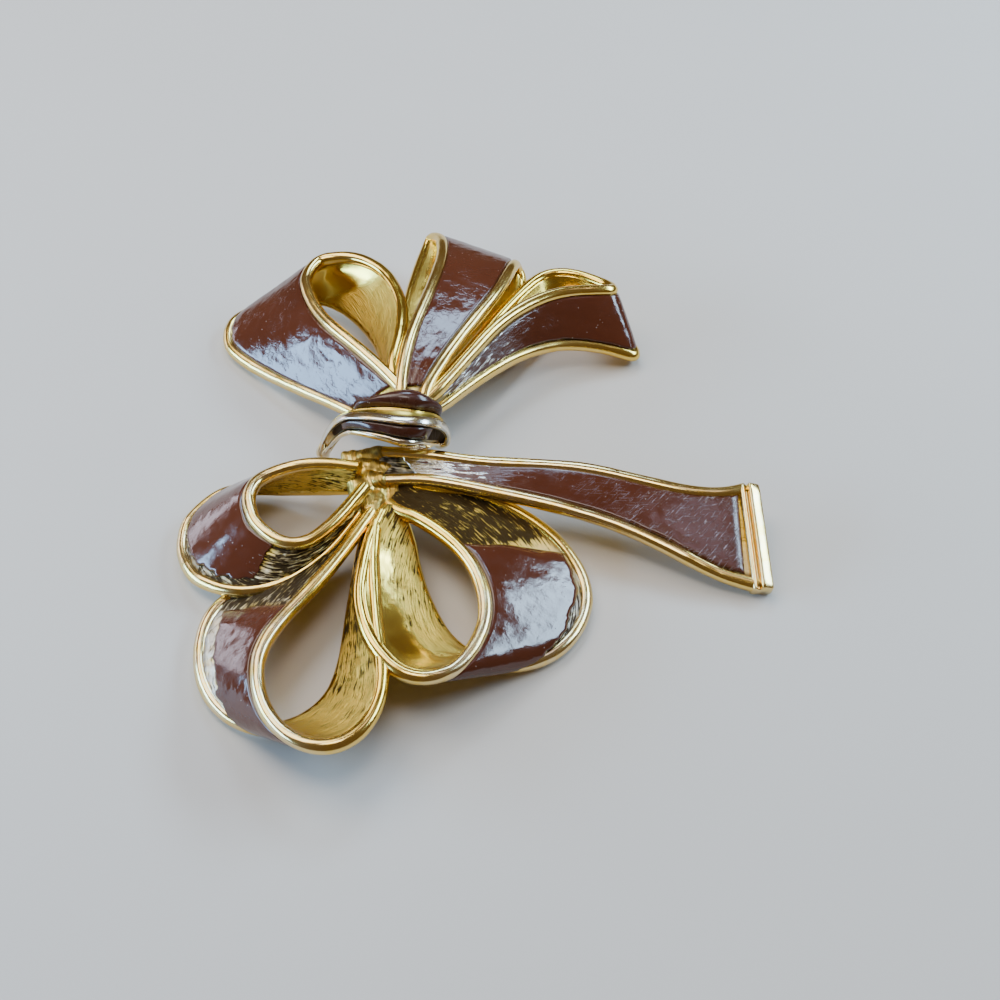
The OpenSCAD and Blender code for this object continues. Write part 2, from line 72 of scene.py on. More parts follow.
# Each row is a section across a ribbon, from the root outwards and back.
# Columns: crest along, crest across, crest rise, foot along, foot across, foot rise.
# Along and across are shares of the reach, rise is a share from the foot to the crest.
UPPER_LEFT_ROWS = [
    [-0.03, 0.01, 0.92, 0.08, 0.12, 0.40],
    [0.04, -0.015, 0.97, 0.20, 0.115, 0.34],
    [0.29, -0.035, 1.00, 0.455, 0.155, 0.18],
    [0.57, -0.05, 0.95, 0.695, 0.19, 0.04],
    [0.78, -0.13, 0.90, 0.88, 0.20, 0],
    [0.85, -0.19, 0.89, 0.96, 0.175, 0],
    [0.885, -0.255, 0.89, 1.025, 0.12, 0],
    [0.885, -0.315, 0.89, 1.06, 0.04, 0],
    [0.79, -0.41, 0.92, 1.02, -0.165, 0],
    [0.605, -0.43, 0.94, 0.865, -0.30, 0.05],
    [0.395, -0.34, 0.97, 0.615, -0.29, 0.18],
    [0.24, -0.20, 1.00, 0.38, -0.21, 0.38],
    [0.13, -0.065, 0.97, 0.19, -0.10, 0.63],
    [0.05, -0.045, 0.86, 0.11, -0.07, 0.58],
]
UPPER_MIDDLE_ROWS = [
    [-0.03, -0.015, 0.80, -0.02, -0.085, 0.80],
    [0.03, 0.015, 0.90, 0.055, -0.07, 0.87],
    [0.25, 0.05, 1.00, 0.285, -0.11, 0.95],
    [0.52, 0.06, 0.97, 0.54, -0.165, 0.92],
    [0.665, 0.07, 0.92, 0.665, -0.18, 0.87],
    [0.81, 0.095, 0.82, 0.80, -0.18, 0.77],
    [0.95, 0.145, 0.64, 0.89, -0.175, 0.59],
    [1.01, 0.195, 0.46, 0.91, -0.18, 0.42],
    [1.01, 0.21, 0.35, 0.90, -0.195, 0.31],
    [0.94, 0.215, 0.27, 0.82, -0.215, 0.25],
    [0.71, 0.19, 0.36, 0.65, -0.225, 0.34],
    [0.395, 0.135, 0.42, 0.34, -0.13, 0.41],
    [0.05, 0.015, 0.54, 0.045, -0.06, 0.54],
]
UPPER_RIGHT_ROWS = [
    [0.025, -0.065, 0.86, 0.035, -0.085, 0.70],
    [0.095, -0.06, 0.89, 0.115, -0.077, 0.67],
    [0.29, 0.023, 0.97, 0.325, -0.005, 0.59],
    [0.53, 0.13, 1.00, 0.545, 0.045, 0.48],
    [0.76, 0.16, 0.96, 0.735, 0.035, 0.35],
    [0.925, 0.11, 0.88, 0.885, -0.04, 0.19],
    [1.00, 0.09, 0.80, 0.97, -0.105, 0.06],
    [1.025, 0.125, 0.72, 1.005, -0.075, 0],
    [1.02, 0.18, 0.64, 1.01, -0.01, 0],
    [0.965, 0.285, 0.64, 0.965, 0.13, 0],
    [0.85, 0.35, 0.64, 0.84, 0.215, 0],
    [0.66, 0.285, 0.64, 0.635, 0.175, 0.10],
    [0.31, 0.10, 0.72, 0.31, 0.055, 0.40],
    [0.055, -0.03, 0.72, 0.055, -0.05, 0.58],
]
LOWER_LEFT_ROWS = [
    [0.045, 0.07, 0.96, 0.08, 0.175, 0.66],
    [0.19, 0.275, 0.96, 0.24, 0.355, 0.43],
    [0.33, 0.395, 0.96, 0.465, 0.50, 0.31],
    [0.465, 0.375, 0.96, 0.68, 0.515, 0.26],
    [0.575, 0.25, 0.96, 0.87, 0.395, 0.12],
    [0.605, 0.165, 0.96, 0.935, 0.285, 0.05],
    [0.62, 0.075, 0.96, 0.97, 0.165, 0],
    [0.60, 0, 0.96, 0.965, 0.045, 0],
    [0.55, -0.065, 0.96, 0.925, -0.06, 0],
    [0.40, -0.12, 0.98, 0.755, -0.215, 0.02],
    [0.23, -0.11, 1.00, 0.445, -0.155, 0.17],
    [0.065, -0.06, 1.00, 0.125, -0.035, 0.55],
]
BOTTOM_LEFT_ROWS = [
    [0.04, 0.005, 1.00, 0.05, -0.025, 0.64],
    [0.23, -0.03, 1.00, 0.235, -0.19, 0.15],
    [0.40, -0.075, 1.00, 0.36, -0.36, 0],
    [0.545, -0.125, 1.00, 0.50, -0.415, 0],
    [0.675, -0.145, 1.00, 0.64, -0.39, 0],
    [0.795, -0.11, 1.00, 0.755, -0.325, 0],
    [0.90, -0.035, 1.00, 0.835, -0.235, 0],
    [0.965, 0.075, 1.00, 0.87, -0.13, 0],
    [0.96, 0.185, 1.00, 0.855, -0.025, 0],
    [0.885, 0.26, 1.00, 0.785, 0.055, 0],
    [0.765, 0.28, 1.00, 0.68, 0.095, 0],
    [0.64, 0.25, 1.00, 0.545, 0.085, 0],
    [0.50, 0.185, 1.00, 0.395, 0.06, 0.12],
    [0.255, 0.09, 0.96, 0.185, 0.02, 0.42],
    [0.085, 0.045, 0.96, 0.07, 0.015, 0.60],
]
BOTTOM_RIGHT_ROWS = [
    [0.02, 0.06, 0.85, -0.07, 0.18, 0.75],
    [0.095, 0.07, 0.91, 0.035, 0.27, 0.74],
    [0.17, 0.115, 0.94, 0.15, 0.445, 0.53],
    [0.35, 0.17, 0.91, 0.42, 0.575, 0.30],
    [0.535, 0.17, 0.87, 0.645, 0.59, 0.05],
    [0.71, 0.10, 0.85, 0.80, 0.515, 0],
    [0.82, -0.015, 0.85, 0.90, 0.375, 0],
    [0.885, -0.155, 0.87, 0.93, 0.215, 0],
    [0.865, -0.27, 0.91, 0.89, 0.09, 0],
    [0.78, -0.345, 0.95, 0.79, -0.01, 0],
    [0.615, -0.36, 1.00, 0.645, -0.05, 0],
    [0.44, -0.31, 1.00, 0.475, -0.04, 0.12],
    [0.30, -0.22, 0.96, 0.32, 0, 0.27],
    [0.16, -0.105, 0.91, 0.185, 0.05, 0.48],
    [0.04, 0.03, 0.87, 0.06, 0.07, 0.74],
]
TAIL_ROWS = [
    [-0.005, 0.055, 0.96, 0.01, -0.04, 0.87],
    [0.13, 0.05, 1.00, 0.135, -0.03, 0.91],
    [0.305, 0.04, 0.91, 0.30, -0.05, 0.83],
    [0.495, 0.05, 0.87, 0.48, -0.08, 0.74],
    [0.66, 0.027, 0.83, 0.65, -0.12, 0.59],
    [0.81, -0.003, 0.74, 0.80, -0.18, 0.40],
    [0.925, 0, 0.66, 0.92, -0.23, 0.18],
    [0.99, 0.026, 0.61, 1.02, -0.247, 0.03],
]

# Name: root, heading in degrees, reach and crest height in millimetres, side that carries
# the enamel, rows, first and last row of the enamel panel
RIBBONS = {
    "upper_left": (UPPER_ROOT, 133, 28, 8.2, 1, UPPER_LEFT_ROWS, 1, 8),
    "upper_middle": (UPPER_ROOT, 75, 31, 9, -1, UPPER_MIDDLE_ROWS, 1, 7),
    "upper_right": (UPPER_ROOT, 33, 30, 8.4, -1, UPPER_RIGHT_ROWS, 1.33, 7),
    "lower_left": (LOWER_LEFT_ROOT, 186, 21, 6.4, 1, LOWER_LEFT_ROWS, 3, 9),
    "bottom_left": (LOWER_ROOT, 255, 30, 5.6, -1, BOTTOM_LEFT_ROWS, 2.67, 8),
    "bottom_right": (LOWER_ROOT, 303, 25, 5.8, 1, BOTTOM_RIGHT_ROWS, 3.33, 8),
    "tail": (TAIL_ROOT, -4, 39, 5.8, -1, TAIL_ROWS, 0.67, 6.67),
}
UPPER = ("upper_left", "upper_middle", "upper_right")
LOWER = ("lower_left", "bottom_left", "bottom_right", "tail")

# How the casting looks along a ribbon, each from 0 to 1.
# Columns: row, as cast texture of the channel and of the back, worn pale metal in the
# channel, tarnish of the channel and of the back.
FINISHES = {
    "upper_left": [[0, 1, 0.8, 0.4, 0.4, 0.5], [2, 0.7, 0.4, 0.5, 0.3, 0.2],
                   [8.4, 0.5, 0.05, 0.3, 0.2, 0], [8.9, 0.4, 0.2, 0.1, 0.2, 0.1],
                   [9.3, 0.3, 0.9, 0, 0.2, 0.2], [13, 1, 1, 0, 0.5, 0.45]],
    "upper_middle": [[0, 1, 0.8, 0.6, 0.4, 0.4], [4, 0.7, 0.3, 0.4, 0.2, 0.2],
                     [8, 0.3, 0.2, 0, 0.2, 0.1], [12, 1, 0.8, 0, 0.5, 0.5]],
    "upper_right": [[0, 1, 0.8, 0.5, 0.5, 0.4], [4, 0.7, 0.4, 0.3, 0.2, 0.2],
                    [8, 0.3, 0.1, 0, 0.2, 0], [10, 0.2, 0.05, 0, 0.1, 0],
                    [11.3, 0.3, 0.5, 0, 0.1, 0.3], [13, 1, 0.8, 0, 0.5, 0.5]],
    "lower_left": [[0, 0.5, 0.6, 0.1, 0.6, 0.5], [1.2, 0.7, 0.5, 0.2, 0.75, 0.4],
                   [2, 1, 0.4, 0.4, 0.75, 0.4], [3, 1, 0.3, 0.55, 0.75, 0.4],
                   [6, 1, 0.2, 0.8, 0.6, 0.2], [9, 1, 0.4, 0.6, 0.6, 0.45],
                   [11, 1, 0.9, 0, 0.5, 0.6]],
    "bottom_left": [[0, 1, 1, 0.1, 0.7, 0.6], [1.6, 1, 0.5, 0.3, 0.85, 0.3],
                    [2.6, 1, 0.5, 0.6, 0.85, 0.3], [3, 1, 0.4, 0.9, 0.5, 0.2],
                    [5, 1, 0.3, 0.9, 0.45, 0.2], [7, 1, 0.3, 0.8, 0.7, 0.2],
                    [8.5, 0.6, 0.6, 0.3, 0.4, 0.3], [10, 0.4, 1, 0, 0.3, 0.5],
                    [14, 1, 1, 0, 0.6, 0.8]],
    "bottom_right": [[0, 1, 0.6, 0, 1, 0.5], [2.3, 1, 0.3, 0, 0.9, 0.3],
                     [3.1, 1, 0.3, 0, 0.85, 0.2], [3.4, 1, 0.3, 0.2, 0.4, 0.2],
                     [5, 1, 0.2, 0.9, 0.7, 0.1], [7, 1, 0.1, 0.9, 0.75, 0],
                     [8.5, 0.6, 0.3, 0.3, 0.4, 0.2], [10, 0.4, 0.8, 0, 0.2, 0.4],
                     [12.5, 0.5, 1, 0, 0.3, 0.5], [14, 1, 1, 0, 0.6, 0.7]],
    "tail": [[0, 1, 0.6, 0.6, 0.75, 0.4], [0.8, 1, 0.5, 0.8, 0.6, 0.4],
             [2, 0.8, 0.4, 0.9, 0.3, 0.3],
             [5, 0.6, 0.2, 0.5, 0.2, 0.2], [7, 0.8, 0.2, 0.3, 0.3, 0.2]],
}
# Share of the back, from the crest, that is smooth even where its casting is rough, and
# the row at which that ends
SMOOTH_SHARES = {"bottom_right": (0.45, 12.6)}
# How far a strip of bare channel shows along the foot rim, and how ragged it is, in
# millimetres. Columns: row, bare width, raggedness.
BARE_STRIPS = {
    "upper_left": [[1, 0, 0], [5, 0.05, 0.1], [8, 0.1, 0.1]],
    "upper_middle": [[1, 0, 0], [7, 0.05, 0.05]],
    "upper_right": [[1.33, 0.05, 0.05], [7, 0.05, 0.05]],
    "lower_left": [[3, 1.1, 0.35], [4.5, 0.5, 0.3], [6, 0.3, 0.15], [9, 0.25, 0.15]],
    "bottom_left": [[2.67, 0.8, 0.3], [3.4, 1.9, 0.2], [4.6, 1.8, 0.25], [5.5, 1.2, 0.4],
                    [6.3, 0.7, 0.3], [8, 0.3, 0.2]],
    "bottom_right": [[3.33, 0.2, 0.15], [4.4, 0.45, 0.3], [5.3, 0.95, 0.35],
                     [6.5, 0.7, 0.4], [8, 0.3, 0.2]],
    "tail": [[0.67, 0, 0], [4, 0.05, 0.05], [6.67, 0.15, 0.15]],
}
# Enamel along a ribbon. Columns: row, worn through to the metal, ripples, fine scratches.
ENAMEL_LOOKS = {
    "upper_left": [[1, 0.15, 1, 0], [2.6, 0, 0.8, 0], [4, 0, 0.6, 0], [8, 0, 0.6, 0]],
    "upper_middle": [[1, 0.3, 1.9, 0], [2.3, 0, 1.6, 0], [3.2, 0, 0.7, 0], [7, 0, 0.5, 0]],
    "upper_right": [[1.33, 0.7, 1.5, 0], [2.6, 0.4, 1.2, 0], [3.5, 0, 0.7, 0],
                    [7, 0, 0.5, 0]],
    "lower_left": [[3, 0.3, 0.5, 0], [3.35, 0, 0.3, 0], [9, 0, 0.3, 0]],
    "bottom_left": [[2.67, 0.4, 0.8, 0], [3.3, 0, 0.35, 0], [8, 0, 0.4, 0]],
    "bottom_right": [[3.33, 0.1, 0.7, 0], [4, 0, 0.3, 0], [5.2, 0, 0.35, 0], [8, 0, 0.6, 0]],
    "tail": [[0.67, 1, 0.8, 0], [1.6, 0.6, 0.9, 0], [2.6, 0, 0.4, 0], [3.9, 0, 0.4, 0.1],
             [4.8, 0, 0.5, 0.8], [6.67, 0.1, 0.6, 1]],
}
# The enamel's start: how many rows earlier at its crest side than at its foot side, how
# ragged it is in rows, and over how many sections it thickens
ENAMEL_STARTS = {"bottom_right": (0.5, 0.07, 4), "lower_left": (-0.3, 0.05, 12),
                 "bottom_left": (0.3, 0.06, 7), "upper_right": (0.3, 0.2, 10),
                 "tail": (0.3, 0.05, 30)}
PLAIN_START = (0, 0.07, 4)
# Short cracks in the enamel. Columns: row and share across of one end, then of the other.
CRACKS = {"upper_left": [[2.52, 0.3, 2.22, 0.37], [2.36, 0.27, 2.3, 0.44],
                         [2.22, 0.37, 2.1, 0.3]]}
# How far a crack's sides slope, and its depth, in millimetres
CRACK_WIDTH = 0.2
CRACK_DEPTH = 0.07

# Pleats of the gathered roots, each a bead bent through three points.
# Columns: radius, then along, across and height of its start, bend and end from the knot.
UPPER_PLEATS = [
    [0.9, -1.3, 1.5, 7.7, -1.5, 3.6, 6.3, -1.6, 4.9, 5.6],
    [0.9, -0.1, 1.5, 8.2, -0.1, 3.6, 6.6, -0.1, 5, 5.8],
    [0.9, 1.1, 1.5, 8.2, 1.3, 3.6, 6.6, 1.5, 5, 5.8],
    [0.9, 2.4, 1.5, 7.6, 2.7, 3.6, 6.4, 2.9, 4.9, 5.7],
]
LOWER_PLEATS = [
    [0.5, -4.1, -0.7, 4.9, -4.0, -1.5, 4.8, -3.3, -3.2, 4.7],
    [0.55, -3.3, -0.7, 5.1, -3.2, -1.6, 4.9, -2.7, -3.2, 4.9],
    [0.55, -2.4, -0.7, 5.1, -2.4, -1.8, 4.9, -2.1, -3.4, 4.9],
    [1.2, -3.1, -3.6, 4.4, -2.7, -4.6, 4.5, -2.0, -6.2, 4.5],
    [0.95, -1.4, -1, 4.6, -1.7, -4, 4.8, -1.4, -8, 4.4],
    [0.95, 0.3, -1, 4.5, -0.2, -4.5, 4.1, -0.6, -9, 4.3],
    [0.95, 1.8, -1, 4.4, 1.3, -4.5, 4, 1.6, -8.6, 4],
    [0.95, -2.1, -1.3, 4.9, -1.4, -1, 5.1, -0.5, -0.85, 5.4],
    [0.95, -1.7, -3.9, 4.8, -1, -4.4, 4.9, -0.2, -4.6, 5.05],
]

# Metal that runs from the gathered root over the start of the tail's channel
TAIL_FILLET = [[1.05, -2.4, -2.6, 4.9, -0.9, -2.75, 4.95, 1.4, -2.85, 4.35]]

# The knot's four edges from left to right, a row for each section of its arch.
# Columns: share of half the length, share of the width, rise as a share of the top.
KNOT_FRONT_FOOT = [
    [-0.96, 0.22, 0.17], [-0.86, 0.18, 0.33], [-0.71, 0.12, 0.51], [-0.51, -0.05, 0.70],
    [-0.26, -0.25, 0.80], [0.06, -0.42, 0.84], [0.31, -0.50, 0.82], [0.51, -0.42, 0.75],
    [0.66, -0.24, 0.62], [0.76, -0.02, 0.52], [0.82, 0.08, 0.44],
]
KNOT_FRONT_CREST = [
    [-1.00, 0.25, 0.23], [-0.93, 0.23, 0.41], [-0.79, 0.17, 0.635], [-0.56, 0.08, 0.84],
    [-0.27, -0.07, 0.94], [0.06, -0.20, 0.98], [0.34, -0.25, 0.98], [0.63, -0.17, 0.93],
    [0.86, 0, 0.79], [0.97, 0.10, 0.60], [0.94, 0.12, 0.45],
]
KNOT_CAP_FRONT = [
    [-0.99, 0.43, 0.25], [-0.90, 0.42, 0.42], [-0.77, 0.37, 0.62], [-0.53, 0.32, 0.78],
    [-0.24, 0.27, 0.86], [0.06, 0.17, 0.93], [0.33, 0.12, 0.94], [0.54, 0.13, 0.90],
    [0.77, 0.30, 0.76], [0.89, 0.40, 0.59], [0.87, 0.40, 0.43],
]
KNOT_CAP_BACK = [
    [-0.96, 0.53, 0.23], [-0.87, 0.55, 0.41], [-0.73, 0.50, 0.61], [-0.50, 0.43, 0.78],
    [-0.25, 0.42, 0.89], [0.03, 0.42, 0.98], [0.29, 0.45, 1.01], [0.52, 0.47, 0.98],
    [0.77, 0.50, 0.83], [0.85, 0.53, 0.65], [0.84, 0.52, 0.46],
]
# The knot's two strips of enamel: first and last row, first and last share across, floor
# in heights of the rim, and how far it bulges in millimetres
KNOT_FRONT_PANEL = ((2.67, 7.67), (0.24, 0.76), 0, 0.06)
KNOT_CAP_PANEL = ((3.33, 8.67), (0.04, 1.1), -0.7, 0.62)
# Darkest colour of the knot's enamel, and how much duller it is than the ribbons'
KNOT_DARK = (0.03, 0.006, 0.002)
KNOT_DULLNESS = 0.1


class BroochCasting(bpy.types.PropertyGroup):
    """Sizes of the cast gold"""

    sheet: FloatProperty(name="Sheet", description="Thickness of the cast ribbon",
                         default=0.9 * MM, unit="LENGTH")
    rim_width: FloatProperty(name="Rim Width", description="Width of the raised rim",
                             default=1.4 * MM, unit="LENGTH")
    rim_height: FloatProperty(name="Rim Height", description="Rim above the channel floor",
                              default=0.5 * MM, unit="LENGTH")
    foot: FloatProperty(name="Foot", description="Height of a resting rim's middle",
                        default=1.1 * MM, unit="LENGTH")
    knot_length: FloatProperty(name="Knot Length", description="Knot from side to side",
                               default=14 * MM, unit="LENGTH")
    knot_width: FloatProperty(name="Knot Width", description="Knot from front to back",
                              default=6 * MM, unit="LENGTH")
    knot_top: FloatProperty(name="Knot Top", description="Height of the knot's top",
                            default=11 * MM, unit="LENGTH")
    knot_wall: FloatProperty(name="Knot Wall", description="Thickness of the knot band",
                             default=1.1 * MM, unit="LENGTH")
    knot_rim: FloatProperty(name="Knot Rim", description="Knot rims above their channels",
                            default=0.4 * MM, unit="LENGTH")
    hammer: FloatProperty(name="Hammering", description="Depth of the as cast texture",
                          default=0.08 * MM, unit="LENGTH")
    colour: FloatVectorProperty(name="Gold", description="Colour of the polished gold",
                                default=(0.9, 0.65, 0.13), subtype="COLOR", min=0, max=1)
    warm: FloatVectorProperty(name="Warm Gold", description="Warmer patches of the gold",
                              default=(0.82, 0.51, 0.07), subtype="COLOR", min=0, max=1)
    worn: FloatVectorProperty(name="Worn", description="Pale metal under the worn gold",
                              default=(0.74, 0.72, 0.68), subtype="COLOR", min=0, max=1)
    # Colour of tarnish in the recesses, which also paints a dark reflection on the knot band
    # below its cap
    tarnish_and_shade: FloatVectorProperty(name="Tarnish", description="Colour in the recesses",
                                 default=(0.035, 0.018, 0.01), subtype="COLOR", min=0, max=1)


class BroochEnamel(bpy.types.PropertyGroup):
    """Sizes and colours of the enamel"""

    below: FloatProperty(name="Below Rim", description="Enamel below the top of the rims",
                         default=0.12 * MM, unit="LENGTH")
    gap: FloatProperty(name="Gap", description="Gap between the enamel and the metal",
                       default=0.08 * MM, unit="LENGTH")
    ripple: FloatProperty(name="Ripple", description="Depth of the enamel's ripples",
                          default=0.05 * MM, unit="LENGTH")
    knot_depth: FloatProperty(name="Knot Depth", description="Thickness of the knot's enamel",
                              default=0.25 * MM, unit="LENGTH")
    colour: FloatVectorProperty(name="Brown", description="Colour of the ribbons' enamel",
                                default=(0.088, 0.022, 0.01), subtype="COLOR", min=0, max=1)
    dark: FloatVectorProperty(name="Chocolate", description="Darker colour in the enamel",
                              default=(0.055, 0.013, 0.006), subtype="COLOR", min=0, max=1)


class BroochStage(bpy.types.PropertyGroup):
    """Camera, lights and floor"""

    elevation: FloatProperty(name="Elevation", description="Camera above the horizon",
                             default=math.radians(48), subtype="ANGLE")
    distance: FloatProperty(name="Distance", description="Camera from what it looks at",
                            default=147.7 * MM, unit="LENGTH")
    field: FloatProperty(name="Field of View", description="Angle that the camera takes in",
                         default=math.radians(40), subtype="ANGLE")
    floor: FloatVectorProperty(name="Floor", description="Colour of the floor",
                               default=(0.62, 0.57, 0.52), subtype="COLOR", min=0, max=1)
    soften: IntProperty(name="Softness", description="Size of the lights, in percent",
                        default=100, min=20, max=300)


def through(a, b, c, d, t):
    """A smooth curve through four rows, at share t from the second to the third."""
    return (2 * b + (c - a) * t + (2 * a - 5 * b + 4 * c - d) * t ** 2
            + (3 * b - a - 3 * c + d) * t ** 3) / 2


def smooth(rows, steps):
    """Rows with smooth steps added between each two."""
    rows = np.array(rows, float)
    rows = np.vstack([2 * rows[0] - rows[1], rows, 2 * rows[-1] - rows[-2]])
    made = [through(*rows[i:i + 4], k / steps)
            for i in range(len(rows) - 3) for k in range(steps)]
    return np.array(made + [rows[-2]])


def soften(points, passes):
    """Points moved towards the middle of their neighbours, with both ends kept."""
    points = points.copy()
    for _ in range(passes):
        points[1:-1] = (points[:-2] + 2 * points[1:-1] + points[2:]) / 4
    return points


def unit(vectors):
    """Vectors of the same directions with length 1."""
    return vectors / np.linalg.norm(vectors, axis=-1, keepdims=True)


# Brings the noise up to about -1 to 1
NOISE_GAIN = 1.6


def wave(point, size, seed=0):
    """Soft noise from -1 to 1 at a point in millimetres, with lumps of that size. Each seed
    gives a pattern of its own."""
    p = Vector(point) / size + Vector((17.3 * seed, 5.1 * seed, 9.7 * seed))
    return noise.noise(p) * NOISE_GAIN


# Waves that are added up. Columns: height, size of the lumps in millimetres, seed.
CHANNEL_DENTS = [(0.8, 1.1, 1), (0.6, 0.5, 2)]
ROOT_DENTS = [(1.5, 1.7, 4), (0.9, 0.75, 5)]
RIM_WAVES = [(0.07, 5, 3), (0.02, 1.3, 13)]
ENAMEL_TEARS = [(1, 1.3, 6), (0.6, 0.5, 7)]
ENAMEL_RIPPLES = [(0.7, 2.6, 8), (0.5, 0.9, 9), (0.25, 0.45, 15)]


def mixed(point, waves):
    """The sum of several waves at a point in millimetres."""
    return sum(height * wave(point, size, seed) for height, size, seed in waves)


class Ribbon:
    """A ribbon's two edges and its face direction, section by section, in millimetres."""

    def __init__(self, name):
        root, heading, reach, crest, side, rows, first, last = RIBBONS[name]
        foot = bpy.context.scene.brooch_casting.foot / MM
        sections = smooth(rows, RIBBON_STEPS)
        turn = math.radians(heading)

        def edge(part):
            """An edge's points from its three columns of shares."""
            along, across, rise = part.T
            return np.column_stack([
                root[0] + reach * (along * math.cos(turn) - across * math.sin(turn)),
                root[1] + reach * (along * math.sin(turn) + across * math.cos(turn)),
                foot + rise * (crest - foot)])

        self.name = name
        self.side = side
        self.crest = soften(edge(sections[:, :3]), SOFTEN_PASSES)
        self.foot = soften(edge(sections[:, 3:]), SOFTEN_PASSES)
        self.row = np.arange(len(sections)) / RIBBON_STEPS
        self.start, self.stop = first, last
        middle = (self.crest + self.foot) / 2
        self.width = np.linalg.norm(self.foot - self.crest, axis=1)
        self.across = unit(self.foot - self.crest)
        step = np.gradient(middle, axis=0)
        self.out = side * unit(np.cross(step, self.across))
        lengths = np.linalg.norm(np.diff(middle, axis=0), axis=1)
        self.run = np.concatenate([[0], np.cumsum(lengths)])

    def at(self, i, across, height):
        """A point that far across section i from the crest, and that high off its floor."""
        return self.crest[i] + self.across[i] * across + self.out[i] * height

    def spot(self, row, share):
        """The point at a row and at a share of the way from crest to foot."""
        i = round(row * RIBBON_STEPS)
        return self.crest[i] + (self.foot[i] - self.crest[i]) * share

    def look(self, tables, i, column):
        """A value from the ribbon's row of a table of looks at section i."""
        table = np.array(tables[self.name])
        return float(np.interp(self.row[i], table[:, 0], table[:, column]))


def off_line(point, start, end):
    """How far a point is from a straight line between two others."""
    along = end - start
    share = min(1, max(0, np.dot(point - start, along) / np.dot(along, along)))
    return np.linalg.norm(point - start - share * along)


def skin(sections, turned=False):
    """Faces between rings of points, with both ends closed."""
    m, n = len(sections), len(sections[0])
    faces = []
    for i in range(m - 1):
        for j in range(n):
            k = (j + 1) % n
            faces.append((i * n + j, i * n + k, (i + 1) * n + k, (i + 1) * n + j))
    faces.append(tuple(range(n - 1, -1, -1)))
    faces.append(tuple((m - 1) * n + j for j in range(n)))
    return [f[::-1] for f in faces] if turned else faces


def set_marks(mesh, marks):
    """Each mark's values, one for each point, as an attribute of the mesh."""
    for label, values in marks.items():
        mesh.attributes.new(label, "FLOAT", "POINT").data.foreach_set("value", values)


def plain_marks(count, rough, pale, tarnish_and_shade):
    """Marks of gold that looks the same all over, with no darkened hollows and no painted
    shade.
    """
    return {"rough": [rough] * count, "pale": [pale] * count, "hollow_and_shade": [0.0] * count,
            "tarnish_and_shade": [tarnish_and_shade] * count}


def set_places(mesh, places, scale):
    """Each point's place on the surface, as the mesh's UV map."""
    corner = np.empty(len(mesh.loops), np.int32)
    mesh.loops.foreach_get("vertex_index", corner)
    layer = mesh.uv_layers.new(name="UVMap")
    layer.data.foreach_set("uv", (places[corner] * scale).ravel())


def path_mesh(points, facing, marks):
    """A line of vertices through points in millimetres, with the direction that each
    faces and its marks."""
    mesh = bpy.data.meshes.new("path")
    steps = [(i, i + 1) for i in range(len(points) - 1)]
    mesh.from_pydata([Vector(p) * MM for p in points], steps, [])
    set_marks(mesh, marks)
    layer = mesh.attributes.new("facing", "FLOAT_VECTOR", "POINT")
    layer.data.foreach_set("vector", facing.astype(np.float32).ravel())
    return mesh


def new_mesh(name, points, faces, marks=None, places=None):
    """A smooth mesh from points in millimetres, with its marks as point attributes and
    places, in metres, as its UV map."""
    mesh = bpy.data.meshes.new(name)
    mesh.from_pydata([Vector(p) * MM for p in points], [], faces)
    mesh.polygons.foreach_set("use_smooth", [True] * len(mesh.polygons))
    set_marks(mesh, marks or {})
    if places is not None:
        set_places(mesh, np.array(places, np.float32), MM)
    mesh.update()
    return mesh


def fuse(name, meshes, material, slot, *nodes):
    """One piece from several meshes, which stands for the given nodes."""
    whole = bmesh.new()
    for mesh in meshes:
        whole.from_mesh(mesh)
        bpy.data.meshes.remove(mesh)
    result = bpy.data.meshes.new(name)
    whole.to_mesh(result)
    whole.free()
    result.polygons.foreach_set("use_smooth", [True] * len(result.polygons))
    result.polygons.foreach_set("material_index", [0] * len(result.polygons))
    result.materials.clear()
    result.materials.append(material)
    piece = bpy.data.objects.new(name, result)
    bpy.context.scene.collection.objects.link(piece)
    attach(piece, BODY)
    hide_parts(*nodes)


def ease(value, low, high):
    """The value from low to high as a smooth share from 0 to 1."""
    share = min(1, max(0, (value - low) / (high - low)))
    return share * share * (3 - 2 * share)


# Points across the channel and across the back of a ribbon
CHANNEL_POINTS = 40
BACK_POINTS = 20
# How far the middle of the channel lies below its sides, as a share of the sheet
DISH = 0.06
# Slope at which the tops of the rims lean away from the channel
RIM_LEAN = 0.22
# How far from the sheet's edge its recess beside the rim is deepest, and over what
# distance it fades, in millimetres
RECESS_AT = 0.8
RECESS_FADE = 0.5
# How far the places on the back are kept from those in the channel, in millimetres
BACK_SHIFT = 40
# Rows over which the smooth share of a back ends, before and after its last row
SMOOTH_FADE = 0.6
# Streaks along the cast metal: length and width in millimetres, and depth as a share of
# the hammering
STREAK_LENGTH = 2.4
STREAK_WIDTH = 0.45
STREAK_DEPTH = 0.7


